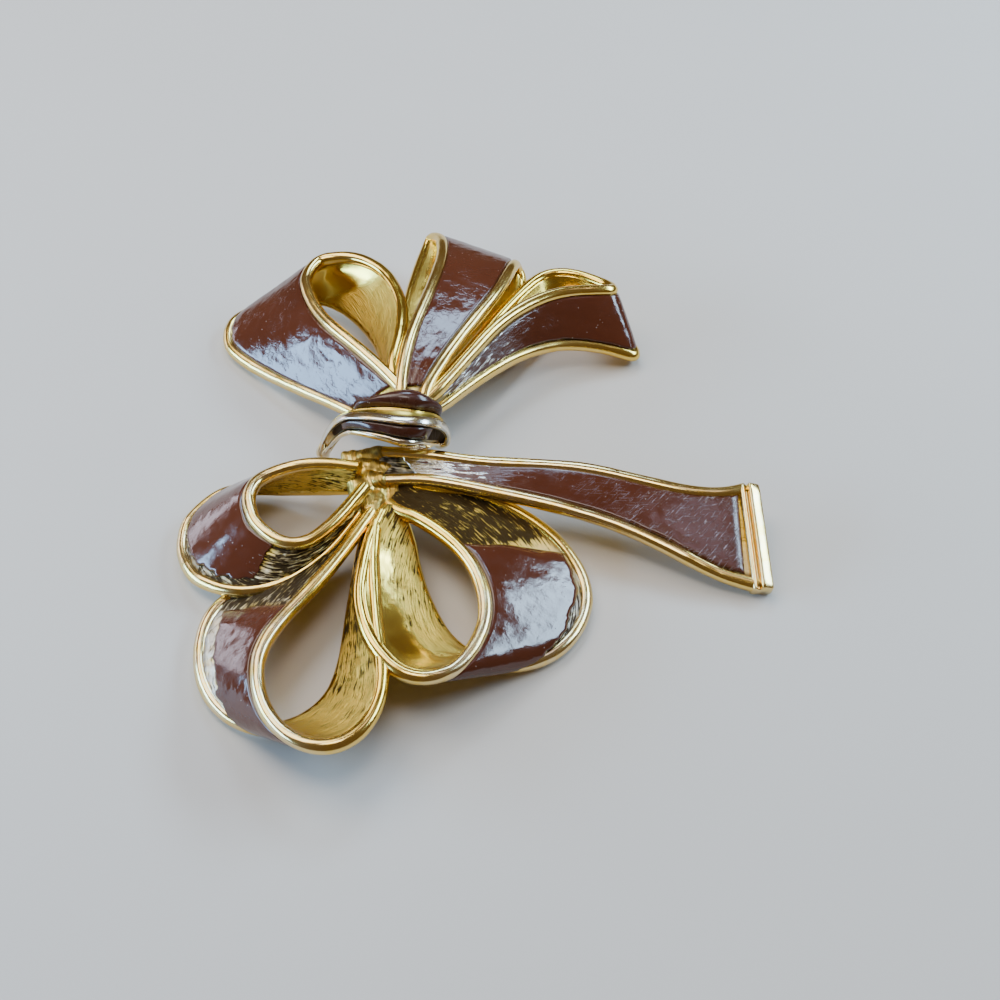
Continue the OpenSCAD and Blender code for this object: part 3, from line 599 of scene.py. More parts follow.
def sheet_mesh(ribbon):
    """The ribbon's sheet, between the middles of its rims: the channel's floor, which
    carries the enamel, and the back."""
    casting = bpy.context.scene.brooch_casting
    wall, hammer = casting.sheet / MM, casting.hammer / MM
    smooth_share, smooth_end = SMOOTH_SHARES.get(ribbon.name, (0, 0))
    across = [(0, s) for s in np.linspace(0, 1, CHANNEL_POINTS)]
    across += [(1, s) for s in np.linspace(1, 0, BACK_POINTS)]
    points, places = [], []
    marks = {"rough": [], "pale": [], "hollow_and_shade": [], "tarnish_and_shade": []}
    for i in range(len(ribbon.row)):
        w = ribbon.width[i]
        bare = ribbon.look(BARE_STRIPS, i, 1)
        for face, s in across:
            sink = DISH * 4 * s * (1 - s)
            base = -(face + sink) * wall
            spot = ribbon.at(i, s * w, base)
            cast = ribbon.look(FINISHES, i, 1 + face)
            if face and smooth_share:
                edge = smooth_share + 0.08 * wave(spot, 1.4, 11)
                kept = ease(ribbon.row[i], smooth_end - SMOOTH_FADE,
                            smooth_end + SMOOTH_FADE)
                cast *= max(kept, ease(s, edge - 0.12, edge + 0.16))
            streak = NOISE_GAIN * noise.noise((ribbon.run[i] / STREAK_LENGTH,
                                               s * w / STREAK_WIDTH, face * 9))
            bump = mixed(spot, CHANNEL_DENTS) + STREAK_DEPTH * streak
            # A bare strip lies a little higher than the channel and is lumpy
            strip = ease(s * w, w - 0.9 - bare, w - 0.6 - bare) * min(1, 3 * bare)
            lift = (1 - face) * strip * (0.1 + 0.12 * wave(spot, 0.55, 12))
            points.append(ribbon.at(i, s * w, base + hammer * cast * bump + lift))
            marks["rough"].append(cast)
            # Past the root the channel is worn pale only towards its foot side
            past_root = ease(ribbon.row[i], ribbon.start - 0.3, ribbon.start)
            worn = ribbon.look(FINISHES, i, 3) * (1 - past_root * (1 - ease(s, 0.5, 0.75)))
            marks["pale"].append((1 - face) * worn)
            marks["tarnish_and_shade"].append(ribbon.look(FINISHES, i, 4 + face))
            edge = min(s, 1 - s) * w
            darkening = max(0, 1 - abs(edge - RECESS_AT) / RECESS_FADE)
            marks["hollow_and_shade"].append(darkening * (1 - 0.5 * face))
            places.append((ribbon.run[i], s * w + BACK_SHIFT * face))
    faces = skin(np.zeros((len(ribbon.row), len(across))), turned=ribbon.side > 0)
    return new_mesh("sheet", points, faces, marks, places)


def edge_path(ribbon, edge, lean):
    """A line of vertices along one edge, with the direction of its face, leant across the
    ribbon, and its size and finish at each."""
    casting = bpy.context.scene.brooch_casting
    wall, rise = casting.sheet / MM, casting.rim_height / MM
    points = edge + ribbon.out * (rise - wall) / 2
    n = len(points)
    size = [min(1, 0.7 * ribbon.width[i] / (casting.rim_width / MM))
            * (1 + mixed(points[i], RIM_WAVES))
            for i in range(n)]
    marks = {"size": size,
             "rough": [0.3 * ribbon.look(FINISHES, i, 1) ** 2 for i in range(n)],
             "pale": [0.45 * ribbon.look(FINISHES, i, 3) for i in range(n)],
             "tarnish_and_shade": [0.4 * ribbon.look(FINISHES, i, 4) for i in range(n)],
             "hollow_and_shade": [0.0] * n}
    return path_mesh(points, unit(ribbon.out + lean * ribbon.across), marks)


def held(mesh):
    """An object that holds a mesh while its modifiers are worked out."""
    holder = bpy.data.objects.new("holder", mesh)
    bpy.context.scene.collection.objects.link(holder)
    return holder


def worked_out(holder):
    """The mesh that an object's modifiers make. The object and its own mesh are removed."""
    shown = holder.evaluated_get(bpy.context.evaluated_depsgraph_get())
    made = bpy.data.meshes.new_from_object(shown)
    source = holder.data
    bpy.data.objects.remove(holder)
    bpy.data.meshes.remove(source)
    return made


def rim_tree():
    """Geometry nodes that sweep a rounded bar along a path of vertices."""
    tree = bpy.data.node_groups.new("Rim along an edge", "GeometryNodeTree")
    ids = {}
    for name, kind, value in (("Path", "NodeSocketGeometry", None),
                              ("Width", "NodeSocketFloat", 1.4 * MM),
                              ("Height", "NodeSocketFloat", 1.4 * MM),
                              ("Rounding", "NodeSocketFloat", 0.5 * MM),
                              ("Rounding Steps", "NodeSocketInt", 5),
                              ("Material", "NodeSocketMaterial", None)):
        socket = tree.interface.new_socket(name, in_out="INPUT", socket_type=kind)
        if value is not None:
            socket.default_value = value
        ids[name] = socket.identifier
    tree.interface.new_socket("Rim", in_out="OUTPUT", socket_type="NodeSocketGeometry")
    make = tree.nodes.new
    start, end = make("NodeGroupInput"), make("NodeGroupOutput")
    curve = make("GeometryNodeMeshToCurve")
    normal = make("GeometryNodeSetCurveNormal")
    normal.mode = "FREE"
    facing = make("GeometryNodeInputNamedAttribute")
    facing.data_type = "FLOAT_VECTOR"
    facing.inputs["Name"].default_value = "facing"
    size = make("GeometryNodeInputNamedAttribute")
    size.data_type = "FLOAT"
    size.inputs["Name"].default_value = "size"
    bar = make("GeometryNodeCurvePrimitiveQuadrilateral")
    fillet = make("GeometryNodeFilletCurve")
    fillet.mode = "POLY"
    sweep = make("GeometryNodeCurveToMesh")
    sweep.inputs["Fill Caps"].default_value = True
    real = make("GeometryNodeRealizeInstances")
    paint = make("GeometryNodeSetMaterial")
    for source, output, target, name in (
            (start, "Path", curve, "Mesh"), (curve, "Curve", normal, "Curve"),
            (facing, "Attribute", normal, "Normal"), (start, "Width", bar, "Width"),
            (start, "Height", bar, "Height"), (bar, "Curve", fillet, "Curve"),
            (start, "Rounding", fillet, "Radius"),
            (start, "Rounding Steps", fillet, "Count"),
            (normal, "Curve", sweep, "Curve"), (fillet, "Curve", sweep, "Profile Curve"),
            (size, "Attribute", sweep, "Scale"), (sweep, "Mesh", real, "Geometry"),
            (real, "Geometry", paint, "Geometry"), (start, "Material", paint, "Material"),
            (paint, "Geometry", end, "Rim")):
        tree.links.new(source.outputs[output], target.inputs[name])
    return tree, ids


def swept(path, tree, ids, **sizes):
    """The mesh that a tree makes of a path, with the modifier removed again."""
    holder = held(path)
    modifier = holder.modifiers.new("Sweep", "NODES")
    modifier.node_group = tree
    for name, value in sizes.items():
        modifier[ids[name]] = value
    return worked_out(holder)


# Points nearer to each other than this are merged, in millimetres
MERGE_WITHIN = 0.0001


def close_up(mesh):
    """Doubles merged and faces turned outwards."""
    work = bmesh.new()
    work.from_mesh(mesh)
    bmesh.ops.remove_doubles(work, verts=work.verts, dist=MERGE_WITHIN * MM)
    bmesh.ops.recalc_face_normals(work, faces=work.faces)
    work.to_mesh(mesh)
    work.free()
    return mesh


def rim_meshes(ribbon, gold, tools):
    """The two rims of a ribbon."""
    casting = bpy.context.scene.brooch_casting
    tall = casting.sheet + casting.rim_height
    return [close_up(swept(edge_path(ribbon, edge, lean), *tools, Width=tall,
                           Height=casting.rim_width, Rounding=0.45 * casting.rim_width,
                           Material=gold))
            for edge, lean in ((ribbon.crest, -RIM_LEAN), (ribbon.foot, RIM_LEAN))]


# Balls along each half of a pleat, the grain that melts them into one, in millimetres,
# and the passes that blur it
PLEAT_BALLS = 8
MELT_GRAIN = 0.16
BLUR_PASSES = 6


def gathered_root(rows):
    """Pleats of a root, melted together and dimpled as cast metal is."""
    work = bmesh.new()
    for row in rows:
        bends = np.array(row[1:]).reshape(3, 3) + [KNOT_AT[0], KNOT_AT[1], 0]
        for spot in np.vstack([np.linspace(bends[0], bends[1], PLEAT_BALLS),
                               np.linspace(bends[1], bends[2], PLEAT_BALLS)[1:]]):
            ball = bmesh.ops.create_icosphere(work, subdivisions=2, radius=row[0] * MM)
            bmesh.ops.translate(work, verts=ball["verts"], vec=Vector(spot) * MM)
    mesh = bpy.data.meshes.new("root")
    work.to_mesh(mesh)
    work.free()
    holder = held(mesh)
    melt = holder.modifiers.new("Melt", "REMESH")
    melt.mode = "VOXEL"
    melt.voxel_size = MELT_GRAIN * MM
    blur = holder.modifiers.new("Blur", "SMOOTH")
    blur.factor = 0.5
    blur.iterations = BLUR_PASSES
    made = worked_out(holder)
    hammer = bpy.context.scene.brooch_casting.hammer / MM
    hollow_and_shade = []
    for vertex in made.vertices:
        spot = np.array(vertex.co) / MM
        bump = mixed(spot, ROOT_DENTS)
        vertex.co += vertex.normal * (hammer * bump * MM)
        hollow_and_shade.append(max(ease(-bump, 0.1, 1.4), 0.7 * ease(wave(spot, 0.8, 16), 0.3, 0.9)))
    set_marks(made, {**plain_marks(len(hollow_and_shade), 0.42, 0.08, 0.7), "hollow_and_shade": hollow_and_shade})
    places = np.array([(v.co.y, v.co.x + v.co.z) for v in made.vertices], np.float32)
    set_places(made, places, 1)
    return made


# Outline of the end bar: place along the tail and height, as shares of its width and
# height
BAR_OUTLINE = [
    (-0.26, -1), (-0.26, 0.2), (-0.21, 0.5), (-0.13, 0.6), (-0.06, 0.52), (0, 0.36),
    (0.06, 0.36), (0.1, 0.6), (0.14, 0.93), (0.22, 1), (0.4, 0.92), (0.6, 0.8),
    (0.7, 0.68), (0.74, 0.3), (0.72, -0.9), (0.2, -1),
]
# Width and height of the end bar, and how far it reaches past the tail's foot side, in
# millimetres. Past the crest side it reaches half as far.
BAR_WIDTH = 2.2
BAR_HEIGHT = 1.0
BAR_PAST = 0.7


def end_bar_mesh(tail):
    """Broad polished bar across the tail's end: a thin ridge, a groove and a band."""
    sheet = bpy.context.scene.brooch_casting.sheet / MM
    last = len(tail.row) - 1
    ahead = np.cross(tail.out[last], tail.across[last]) * BAR_WIDTH
    length = tail.width[last] + BAR_PAST
    # Place across the end, size of the outline there
    ends = [(-0.5 * BAR_PAST, 0.7), (-0.42 * BAR_PAST, 0.85), (-0.2 * BAR_PAST, 0.95)]
    ends += [(length * s, 1) for s in np.linspace(0.05, 0.92, 18)]
    ends += [(length - 0.3 * BAR_PAST, 0.98), (length - 0.1 * BAR_PAST, 0.9),
             (length, 0.75)]
    sections = []
    for place, size in ends:
        base = tail.crest[last] + tail.across[last] * place
        sections.append([base + ahead * (0.2 + (along - 0.24) * size)
                         + tail.out[last] * up * (BAR_HEIGHT if up > 0 else sheet) * size
                         for along, up in BAR_OUTLINE])
    fine = [round_ring(np.array(ring), 3) for ring in sections]
    points = np.vstack(fine)
    marks = plain_marks(len(points), 0.1, 0.35, 0.1)
    return close_up(new_mesh("end_bar", points, skin(fine), marks, points[:, :2]))


def round_ring(ring, steps):
    """A closed ring of points with smooth steps between each two."""
    n = len(ring)
    return np.array([through(ring[i - 1], ring[i], ring[(i + 1) % n], ring[(i + 2) % n],
                             k / steps)
                     for i in range(n) for k in range(steps)])


# Points across an enamel panel, and sections along it for each of the ribbon's own
ENAMEL_POINTS = 34
ENAMEL_FINENESS = 1.2
# Length of the first and last step of a panel, in sections
END_STEP = 0.06
# A start that takes this many sections or more to thicken is a slope, not a round
LONG_START = 10
# Share of its thickness that a panel has at its very ends
END_THICKNESS = 0.08
# How far a panel's sides reach in under the rims, in millimetres
UNDER_RIM = 0.12
# How far a panel bulges, how far its sides round down, how wide that round is, and how wide
# the band of painted shade is along its sides, in millimetres
BULGE = 0.05
SIDE_DROP = 0.16
SIDE_ROUND = 0.22
SIDE_SHADE = 0.45


def enamel_mesh(ribbon):
    """A panel of enamel in the ribbon's channel, rippled, with ragged ends and a ragged
    edge where a strip of channel is left bare."""
    scene = bpy.context.scene
    casting, enamel = scene.brooch_casting, scene.brooch_enamel
    gap, ripple = enamel.gap / MM, enamel.ripple / MM
    top = (casting.rim_height - enamel.below) / MM
    low = 0.5 * casting.rim_width / MM - UNDER_RIM
    slant, tear_off, fade = ENAMEL_STARTS.get(ribbon.name, PLAIN_START)
    slope = 0.5 if fade < LONG_START else 1
    share = np.linspace(0, 1, ENAMEL_POINTS)
    count = round((ribbon.stop - ribbon.start) * RIBBON_STEPS * ENAMEL_FINENESS)
    sections, places = [], []
    marks = {"thin": [], "worn": [], "rippled": [], "scuffed": []}
    cracks = [(ribbon.spot(a, b), ribbon.spot(c, d))
              for a, b, c, d in CRACKS.get(ribbon.name, ())]
    # A short first and last step keep the shading of the end walls off the face
    for k in (0, END_STEP, *range(1, count), count - END_STEP, count):
        along = k / count
        ring = []
        for face, s in [(0, s) for s in share] + [(1, s) for s in share[::-1]]:
            ragged = tear_off * wave((5 * s, 3 * ribbon.stop, 0), 1.1, 14)
            start = ribbon.start + slant * (s - 0.5) + ragged
            at = (start + (ribbon.stop - start) * along) * RIBBON_STEPS
            i = min(int(at), len(ribbon.row) - 2)
            t = at - i
            crest, foot, out = (v[i] + (v[i + 1] - v[i]) * t
                                for v in (ribbon.crest, ribbon.foot, ribbon.out))
            w = np.linalg.norm(foot - crest)
            tear = ribbon.look(BARE_STRIPS, i, 2) * mixed(foot, ENAMEL_TEARS)
            high = w - low - max(0, ribbon.look(BARE_STRIPS, i, 1) + tear)
            across = low + (high - low) * s
            spot = crest + (foot - crest) * across / w
            edge = min(s, 1 - s) * (high - low)
            lift = min(min(1, k / fade) ** slope, math.sqrt(min(1, (count - k) / 4)))
            swell = (BULGE * min(1, edge / 1.5)
                     - SIDE_DROP * max(0, 1 - edge / SIDE_ROUND) ** 2)
            rippled = ripple * ribbon.look(ENAMEL_LOOKS, i, 2) * mixed(spot, ENAMEL_RIPPLES)
            crack = max([1 - off_line(spot, *ends) / CRACK_WIDTH for ends in cracks] + [0])
            swell -= CRACK_DEPTH * crack
            height = gap + (top - gap + swell + rippled * min(1, edge / 0.6)) * (
                END_THICKNESS + (1 - END_THICKNESS) * lift)
            ring.append(spot + unit(out) * (gap if face else height))
            # Painted shade on the sides next to the rims and along the cracks
            marks["thin"].append(1 if face else max(0, 1 - edge / SIDE_SHADE, 1.6 * crack))
            for column, label in enumerate(("worn", "rippled", "scuffed"), 1):
                marks[label].append(ribbon.look(ENAMEL_LOOKS, i, column))
            places.append((ribbon.run[i] + (ribbon.run[i + 1] - ribbon.run[i]) * t, across))
        sections.append(ring)
    faces = skin(sections, turned=ribbon.side > 0)
    return new_mesh("enamel", np.vstack(sections), faces, marks, places)


class Knot:
    """The knot band's four edges and its sections, in millimetres."""

    def __init__(self):
        casting = bpy.context.scene.brooch_casting
        half = casting.knot_length / MM / 2
        width, top = casting.knot_width / MM, casting.knot_top / MM
        foot = casting.foot / MM
        self.top = top
        self.wall = casting.knot_wall / MM
        self.rim = casting.knot_rim / MM

        def edge(rows):
            """An edge's points from its rows of shares."""
            r = smooth(rows, KNOT_STEPS)
            return soften(np.column_stack([KNOT_AT[0] + r[:, 0] * half,
                                           KNOT_AT[1] + r[:, 1] * width,
                                           foot + r[:, 2] * (top - foot)]),
                          KNOT_SOFTEN_PASSES)

        self.front_foot = edge(KNOT_FRONT_FOOT)
        self.front_crest = edge(KNOT_FRONT_CREST)
        self.cap_front = edge(KNOT_CAP_FRONT)
        self.cap_back = edge(KNOT_CAP_BACK)

    def strip(self, a, b, i, share, height):
        """A point between two edges of the knot, raised out of the strip between them."""
        step = a[min(i + 1, len(a) - 1)] - a[max(i - 1, 0)]
        out = unit(np.cross(step, b[i] - a[i]))
        return a[i] + (b[i] - a[i]) * share + out * height

    def under(self, a, b, i, share, depth):
        """A point on the underside, drawn in both from the strip and towards the axis."""
        p = a[i] + (b[i] - a[i]) * share
        step = a[min(i + 1, len(a) - 1)] - a[max(i - 1, 0)]
        out = unit(np.cross(step, b[i] - a[i]))
        radial = unit(np.array([p[0] - KNOT_AT[0], 0, p[2] - 0.3 * self.top]))
        return p - unit(radial + out) * depth

    def section(self, i):
        """The band's outline at section i, with how dark each point is and how pale each
        point is. Tarnish darkens the front channel, a painted dark reflection darkens the
        band below the cap, and the underside is darker too.
        """
        a, b, c, d = self.front_foot, self.front_crest, self.cap_front, self.cap_back
        last = len(a) - 1
        taper = min(1, 0.9 + 0.05 * min(i, last - i) / KNOT_STEPS)
        t, h = self.wall * taper, self.rim * taper
        on = self.strip
        sunk = ease(i, 0.8 * KNOT_STEPS, 2.2 * KNOT_STEPS)
        # A point, its darkening and its paleness. On the band below the cap the darkening is
        # a painted dark reflection
        return [
            (on(a, b, i, -0.2, -0.4 * t), 0.3, 0.4), (on(a, b, i, -0.22, 0.1 * h), 0, 0.7),
            (on(a, b, i, -0.06, h), 0, 0.8), (on(a, b, i, 0.12, 0.9 * h), 0, 0.8),
            (on(a, b, i, 0.25, 0), sunk, 0.6), (on(a, b, i, 0.73, 0), sunk, 0.6),
            (on(a, b, i, 0.82, 0.8 * h), 0.1, 0.9), (on(a, b, i, 0.96, 1.25 * h), 0, 1),
            (on(b, c, i, 0.2, 0.8 * h), 0.1, 0.7), (on(b, c, i, 0.45, -0.4 * h), 0.6, 0),
            (on(b, c, i, 0.85, -0.2 * h), 0.55, 0), (on(c, d, i, 0, 0.2 * h), 0.45, 0),
            (on(c, d, i, 0.12, -0.8 * h), 0.6, 0), (on(c, d, i, 0.95, -0.8 * h), 0.6, 0),
            (on(c, d, i, 1.06, -0.9 * h), 0, 0), (on(c, d, i, 1.15, -1.5 * h), 0, 0),
            (on(c, d, i, 1.18, -1.9 * h), 0.2, 0), (self.under(c, d, i, 0.7, t), 0.6, 0),
            (self.under(b, c, i, 0.4, t), 0.6, 0), (self.under(a, b, i, 0.7, t), 0.6, 0),
            (self.under(a, b, i, 0.05, 0.8 * t), 0.5, 0)]


def knot_mesh(knot):
    """The wrapped band over both roots, with its rims and channels."""
    rings, hollow_and_shade, pale = [], [], []
    for i in range(len(knot.front_foot)):
        values = np.array([[*spot, darkening, worn] for spot, darkening, worn in knot.section(i)])
        fine = round_ring(values, 4)
        rings.append(fine[:, :3])
        hollow_and_shade.extend(np.clip(fine[:, 3], 0, 1))
        pale.extend(np.clip(fine[:, 4], 0, 1))
    points = np.vstack(rings)
    # Darkening becomes tarnish in the channels and, on the band below the cap, a painted dark
    # reflection
    marks = {"rough": [0.12 + 0.6 * ease(darkening, 0.75, 1) for darkening in hollow_and_shade],
             "pale": pale, "hollow_and_shade": hollow_and_shade, "tarnish_and_shade": [0.2 + 0.8 * darkening for darkening in hollow_and_shade]}
    return close_up(new_mesh("knot_band", points, skin(rings), marks, points[:, :2]))


# Thickness of the beads at the knot's ends, their rounding and how far they bow out, in
# millimetres
RIGHT_BEAD = 0.85
LEFT_BEAD = 1.05
BEAD_ROUNDING = 0.35
BEAD_BOW = 0.35


def knot_bead_mesh(knot, gold, tools, right):
    """The bead that curls round one end of the knot and joins its two rims."""
    a, b = knot.front_foot, knot.front_crest
    if not right:
        a, b = a[::-1], b[::-1]
    out = unit(np.cross(b[-1] - b[-5], b[-1] - a[-1])) * (1 if right else -1)
    bow = unit(b[-1] - b[-5]) * BEAD_BOW
    path = smooth([b[-9], b[-5], b[-1] + 0.5 * bow, (a[-1] + b[-1]) / 2 + bow,
                   a[-1] + 0.5 * bow, a[-6], a[-11]], 6)
    n = len(path)
    marks = {"size": [0.5 + 0.5 * math.sin(math.pi * i / (n - 1)) for i in range(n)],
             **plain_marks(n, 0.1, 0.6, 0.2)}
    line = path_mesh(path, np.tile(out, (n, 1)), marks)
    thick = (RIGHT_BEAD if right else LEFT_BEAD) * MM
    return close_up(swept(line, *tools, Width=thick, Height=thick,
                          Rounding=BEAD_ROUNDING * MM, Material=gold))


# Points across a strip of the knot's enamel
STRIP_POINTS = 16


def knot_strip_mesh(knot, a, b, panel):
    """A strip of enamel between two edges of the knot, over a channel floor."""
    enamel = bpy.context.scene.brooch_enamel
    span, (first, last), floor, crown = panel
    low = floor * knot.rim + enamel.gap / MM
    begin, stop = (round(s * KNOT_STEPS) for s in span)
    share = np.linspace(0, 1, STRIP_POINTS)
    rings, thin = [], []
    for i in range(begin, stop + 1):
        lift = math.sqrt(min(1, (min(i - begin, stop - i) + 0.4) / 5))
        ring = [knot.strip(a, b, i, last + (first - last) * s, low) for s in share]
        thin.extend([1.0] * len(share))
        for s in share:
            across = first + (last - first) * s
            spot = knot.strip(a, b, i, across, low)
            rise = (enamel.knot_depth / MM + crown * 4 * s * (1 - s)
                    + 0.03 * wave(spot, 1.2, 10))
            rounded = 1 - (2 * abs(s - 0.5)) ** 6 * 0.5
            ring.append(knot.strip(a, b, i, across, low + rise * lift * rounded))
            # Painted shade along the strip's sides
            thin.append(max(0, 1 - 8 * min(s, 1 - s)))
        rings.append(ring)
    points = np.vstack(rings)
    plain = [0] * len(thin)
    marks = {"thin": thin, "worn": plain, "rippled": plain, "scuffed": plain}
    return close_up(new_mesh("knot_enamel", points, skin(rings), marks, points[:, :2]))


class Paint:
    """A material's node tree, built a node at a time."""

    def __init__(self, name):
        self.material = bpy.data.materials.new(name)
        self.material.use_nodes = True
        self.tree = self.material.node_tree
        self.shader = self.tree.nodes["Principled BSDF"]
        self.places = self.node("ShaderNodeTexCoord")

    def node(self, kind, **settings):
        """A new node with its settings."""
        made = self.tree.nodes.new(kind)
        for key, value in settings.items():
            setattr(made, key, value)
        return made

    def link(self, source, target):
        """One node's output goes into another's input."""
        self.tree.links.new(source, target)

    def put(self, socket, value):
        """A number, a colour or another node's output goes into a socket."""
        if isinstance(value, bpy.types.NodeSocket):
            self.link(value, socket)
        else:
            socket.default_value = value

    def feed(self, name, value):
        """A number, a colour or another node's output goes into the shader."""
        self.put(self.shader.inputs[name], value)

    def mark(self, label):
        """A mark of the mesh, as a value."""
        made = self.node("ShaderNodeAttribute", attribute_name=label)
        return made.outputs["Fac"]

    def stretched(self, scale):
        """Places on the surface, scaled so that a pattern on them is stretched."""
        made = self.node("ShaderNodeMapping")
        self.link(self.places.outputs["UV"], made.inputs["Vector"])
        made.inputs["Scale"].default_value = scale
        return made.outputs["Vector"]

    def noise(self, scale, detail=3, roughness=0.5, vector=None, distortion=0):
        """Soft noise from 0 to 1, with a scale in lumps to the metre, in the object's space
        or in the given one."""
        made = self.node("ShaderNodeTexNoise")
        self.link(vector or self.places.outputs["Object"], made.inputs["Vector"])
        made.inputs["Scale"].default_value = scale
        made.inputs["Detail"].default_value = detail
        made.inputs["Roughness"].default_value = roughness
        made.inputs["Distortion"].default_value = distortion
        return made.outputs["Fac"]

    def cells(self, scale, feature="F1"):
        """Distance to the nearest cell's middle, or to its edge."""
        made = self.node("ShaderNodeTexVoronoi", feature=feature)
        self.link(self.places.outputs["Object"], made.inputs["Vector"])
        made.inputs["Scale"].default_value = scale
        return made.outputs["Distance"]

    def ramp(self, value, low, high, start=0.0, end=1.0):
        """The value from low to high becomes a smooth share from start to end."""
        made = self.node("ShaderNodeMapRange", interpolation_type="SMOOTHSTEP")
        self.link(value, made.inputs["Value"])
        for key, number in (("From Min", low), ("From Max", high), ("To Min", start),
                            ("To Max", end)):
            made.inputs[key].default_value = number
        return made.outputs["Result"]

    def maths(self, kind, a, b, clamp=True):
        """Two values put together, kept from 0 to 1 if clamped."""
        made = self.node("ShaderNodeMath", operation=kind, use_clamp=clamp)
        self.put(made.inputs[0], a)
        self.put(made.inputs[1], b)
        return made.outputs[0]

    def times(self, a, b):
        """The product of two values, at most 1."""
        return self.maths("MULTIPLY", a, b)

    def plus(self, a, b):
        """The sum of two values, at most 1."""
        return self.maths("ADD", a, b)

    def less(self, a, b):
        """What is left of a without b, below 0 too."""
        return self.maths("SUBTRACT", a, b, clamp=False)

    def most(self, a, b):
        """The greater of two values."""
        return self.maths("MAXIMUM", a, b)

    def blend(self, share, a, b):
        """A colour that goes from a to b with the share."""
        made = self.node("ShaderNodeMix", data_type="RGBA")
        self.put(made.inputs[0], share)
        self.put(made.inputs[6], a)
        self.put(made.inputs[7], b)
        return made.outputs[2]

    def bump(self, height, distance, strength=1.0, normal=None):
        """Relief of that depth in metres, on top of a relief that is there already."""
        made = self.node("ShaderNodeBump")
        self.put(made.inputs["Height"], height)
        made.inputs["Distance"].default_value = distance
        self.put(made.inputs["Strength"], strength)
        if normal is not None:
            self.link(normal, made.inputs["Normal"])
        return made.outputs["Normal"]


def opaque(colour):
    """A colour with full cover."""
    return (*colour, 1.0)


def gold_paint():
    """Polished cast gold: as cast texture where marked, tarnish in the recesses, a painted
    dark reflection on the knot band below its cap, paler metal where the plating is worn."""
    casting = bpy.context.scene.brooch_casting
    paint = Paint("Polished cast gold")
    rough, pale, hollow_and_shade, tarnish_and_shade = map(paint.mark, ("rough", "pale", "hollow_and_shade", "tarnish_and_shade"))
    streaks = paint.noise(1, detail=4, roughness=0.65, vector=paint.stretched((420, 4200, 1)))
    grain = paint.noise(2600, detail=4, roughness=0.65)
    lumps = paint.noise(800, detail=3, roughness=0.6, distortion=0.5)
    patches = paint.noise(180, detail=2)
    texture = paint.plus(paint.times(streaks, 0.7), paint.times(lumps, 0.3))
    # Tarnish settles in the low places of the texture and beside the rims. The same darkening
    # paints a dark reflection on the knot band below its cap
    level = paint.plus(paint.times(tarnish_and_shade, 0.34), 0.28)
    low = paint.ramp(paint.less(texture, level), 0.05, -0.04)
    settled = paint.times(low, paint.ramp(rough, 0.15, 0.6, 0, 0.97))
    dark_hollows_and_shade = paint.times(hollow_and_shade, paint.ramp(lumps, 0.3, 0.7, 0.6, 1))
    dark = paint.most(settled, paint.times(dark_hollows_and_shade, 0.9))
    warm = paint.blend(patches, opaque(casting.colour), opaque(casting.warm))
    worn = paint.times(pale, paint.ramp(lumps, 0.3, 0.6, 0.3, 1))
    metal = paint.blend(worn, warm, opaque(casting.worn))
    paint.feed("Base Color", paint.blend(dark, metal, opaque(casting.tarnish_and_shade)))
    paint.feed("Metallic", 1)
    gloss = paint.ramp(rough, 0, 1, 0.15, 0.34)
    smudge = paint.ramp(patches, 0.35, 0.7, 0, 0.07)
    paint.feed("Roughness", paint.plus(paint.plus(gloss, smudge), paint.times(dark, 0.3)))
    fine = paint.bump(grain, 0.02 * MM, 0.25)
    soft = paint.bump(patches, 0.3 * MM, 0.4, fine)
    paint.feed("Normal", paint.bump(texture, 0.35 * MM, paint.ramp(rough, 0.1, 1), soft))
    return paint.material


# Length and width of a fine scratch, in millimetres
SCRATCH_SIZE = (1.5, 0.12)
# Colours of the scratches and of the specks in the enamel
SCRATCH_COLOUR = (0.6, 0.52, 0.6)
SPECK_COLOUR = (0.42, 0.34, 0.3)


def scratches(paint, turn):
    """Fine broken scratches that all run one way."""
    made = paint.node("ShaderNodeMapping", vector_type="TEXTURE")
    paint.link(paint.places.outputs["UV"], made.inputs["Vector"])
    made.inputs["Rotation"].default_value = (0, 0, math.radians(turn))
    made.inputs["Scale"].default_value = (*(size * MM for size in SCRATCH_SIZE), 1)
    lines = paint.noise(1, detail=2, roughness=0.4, vector=made.outputs["Vector"],
                        distortion=0.7)
    return paint.ramp(lines, 0.6, 0.67)


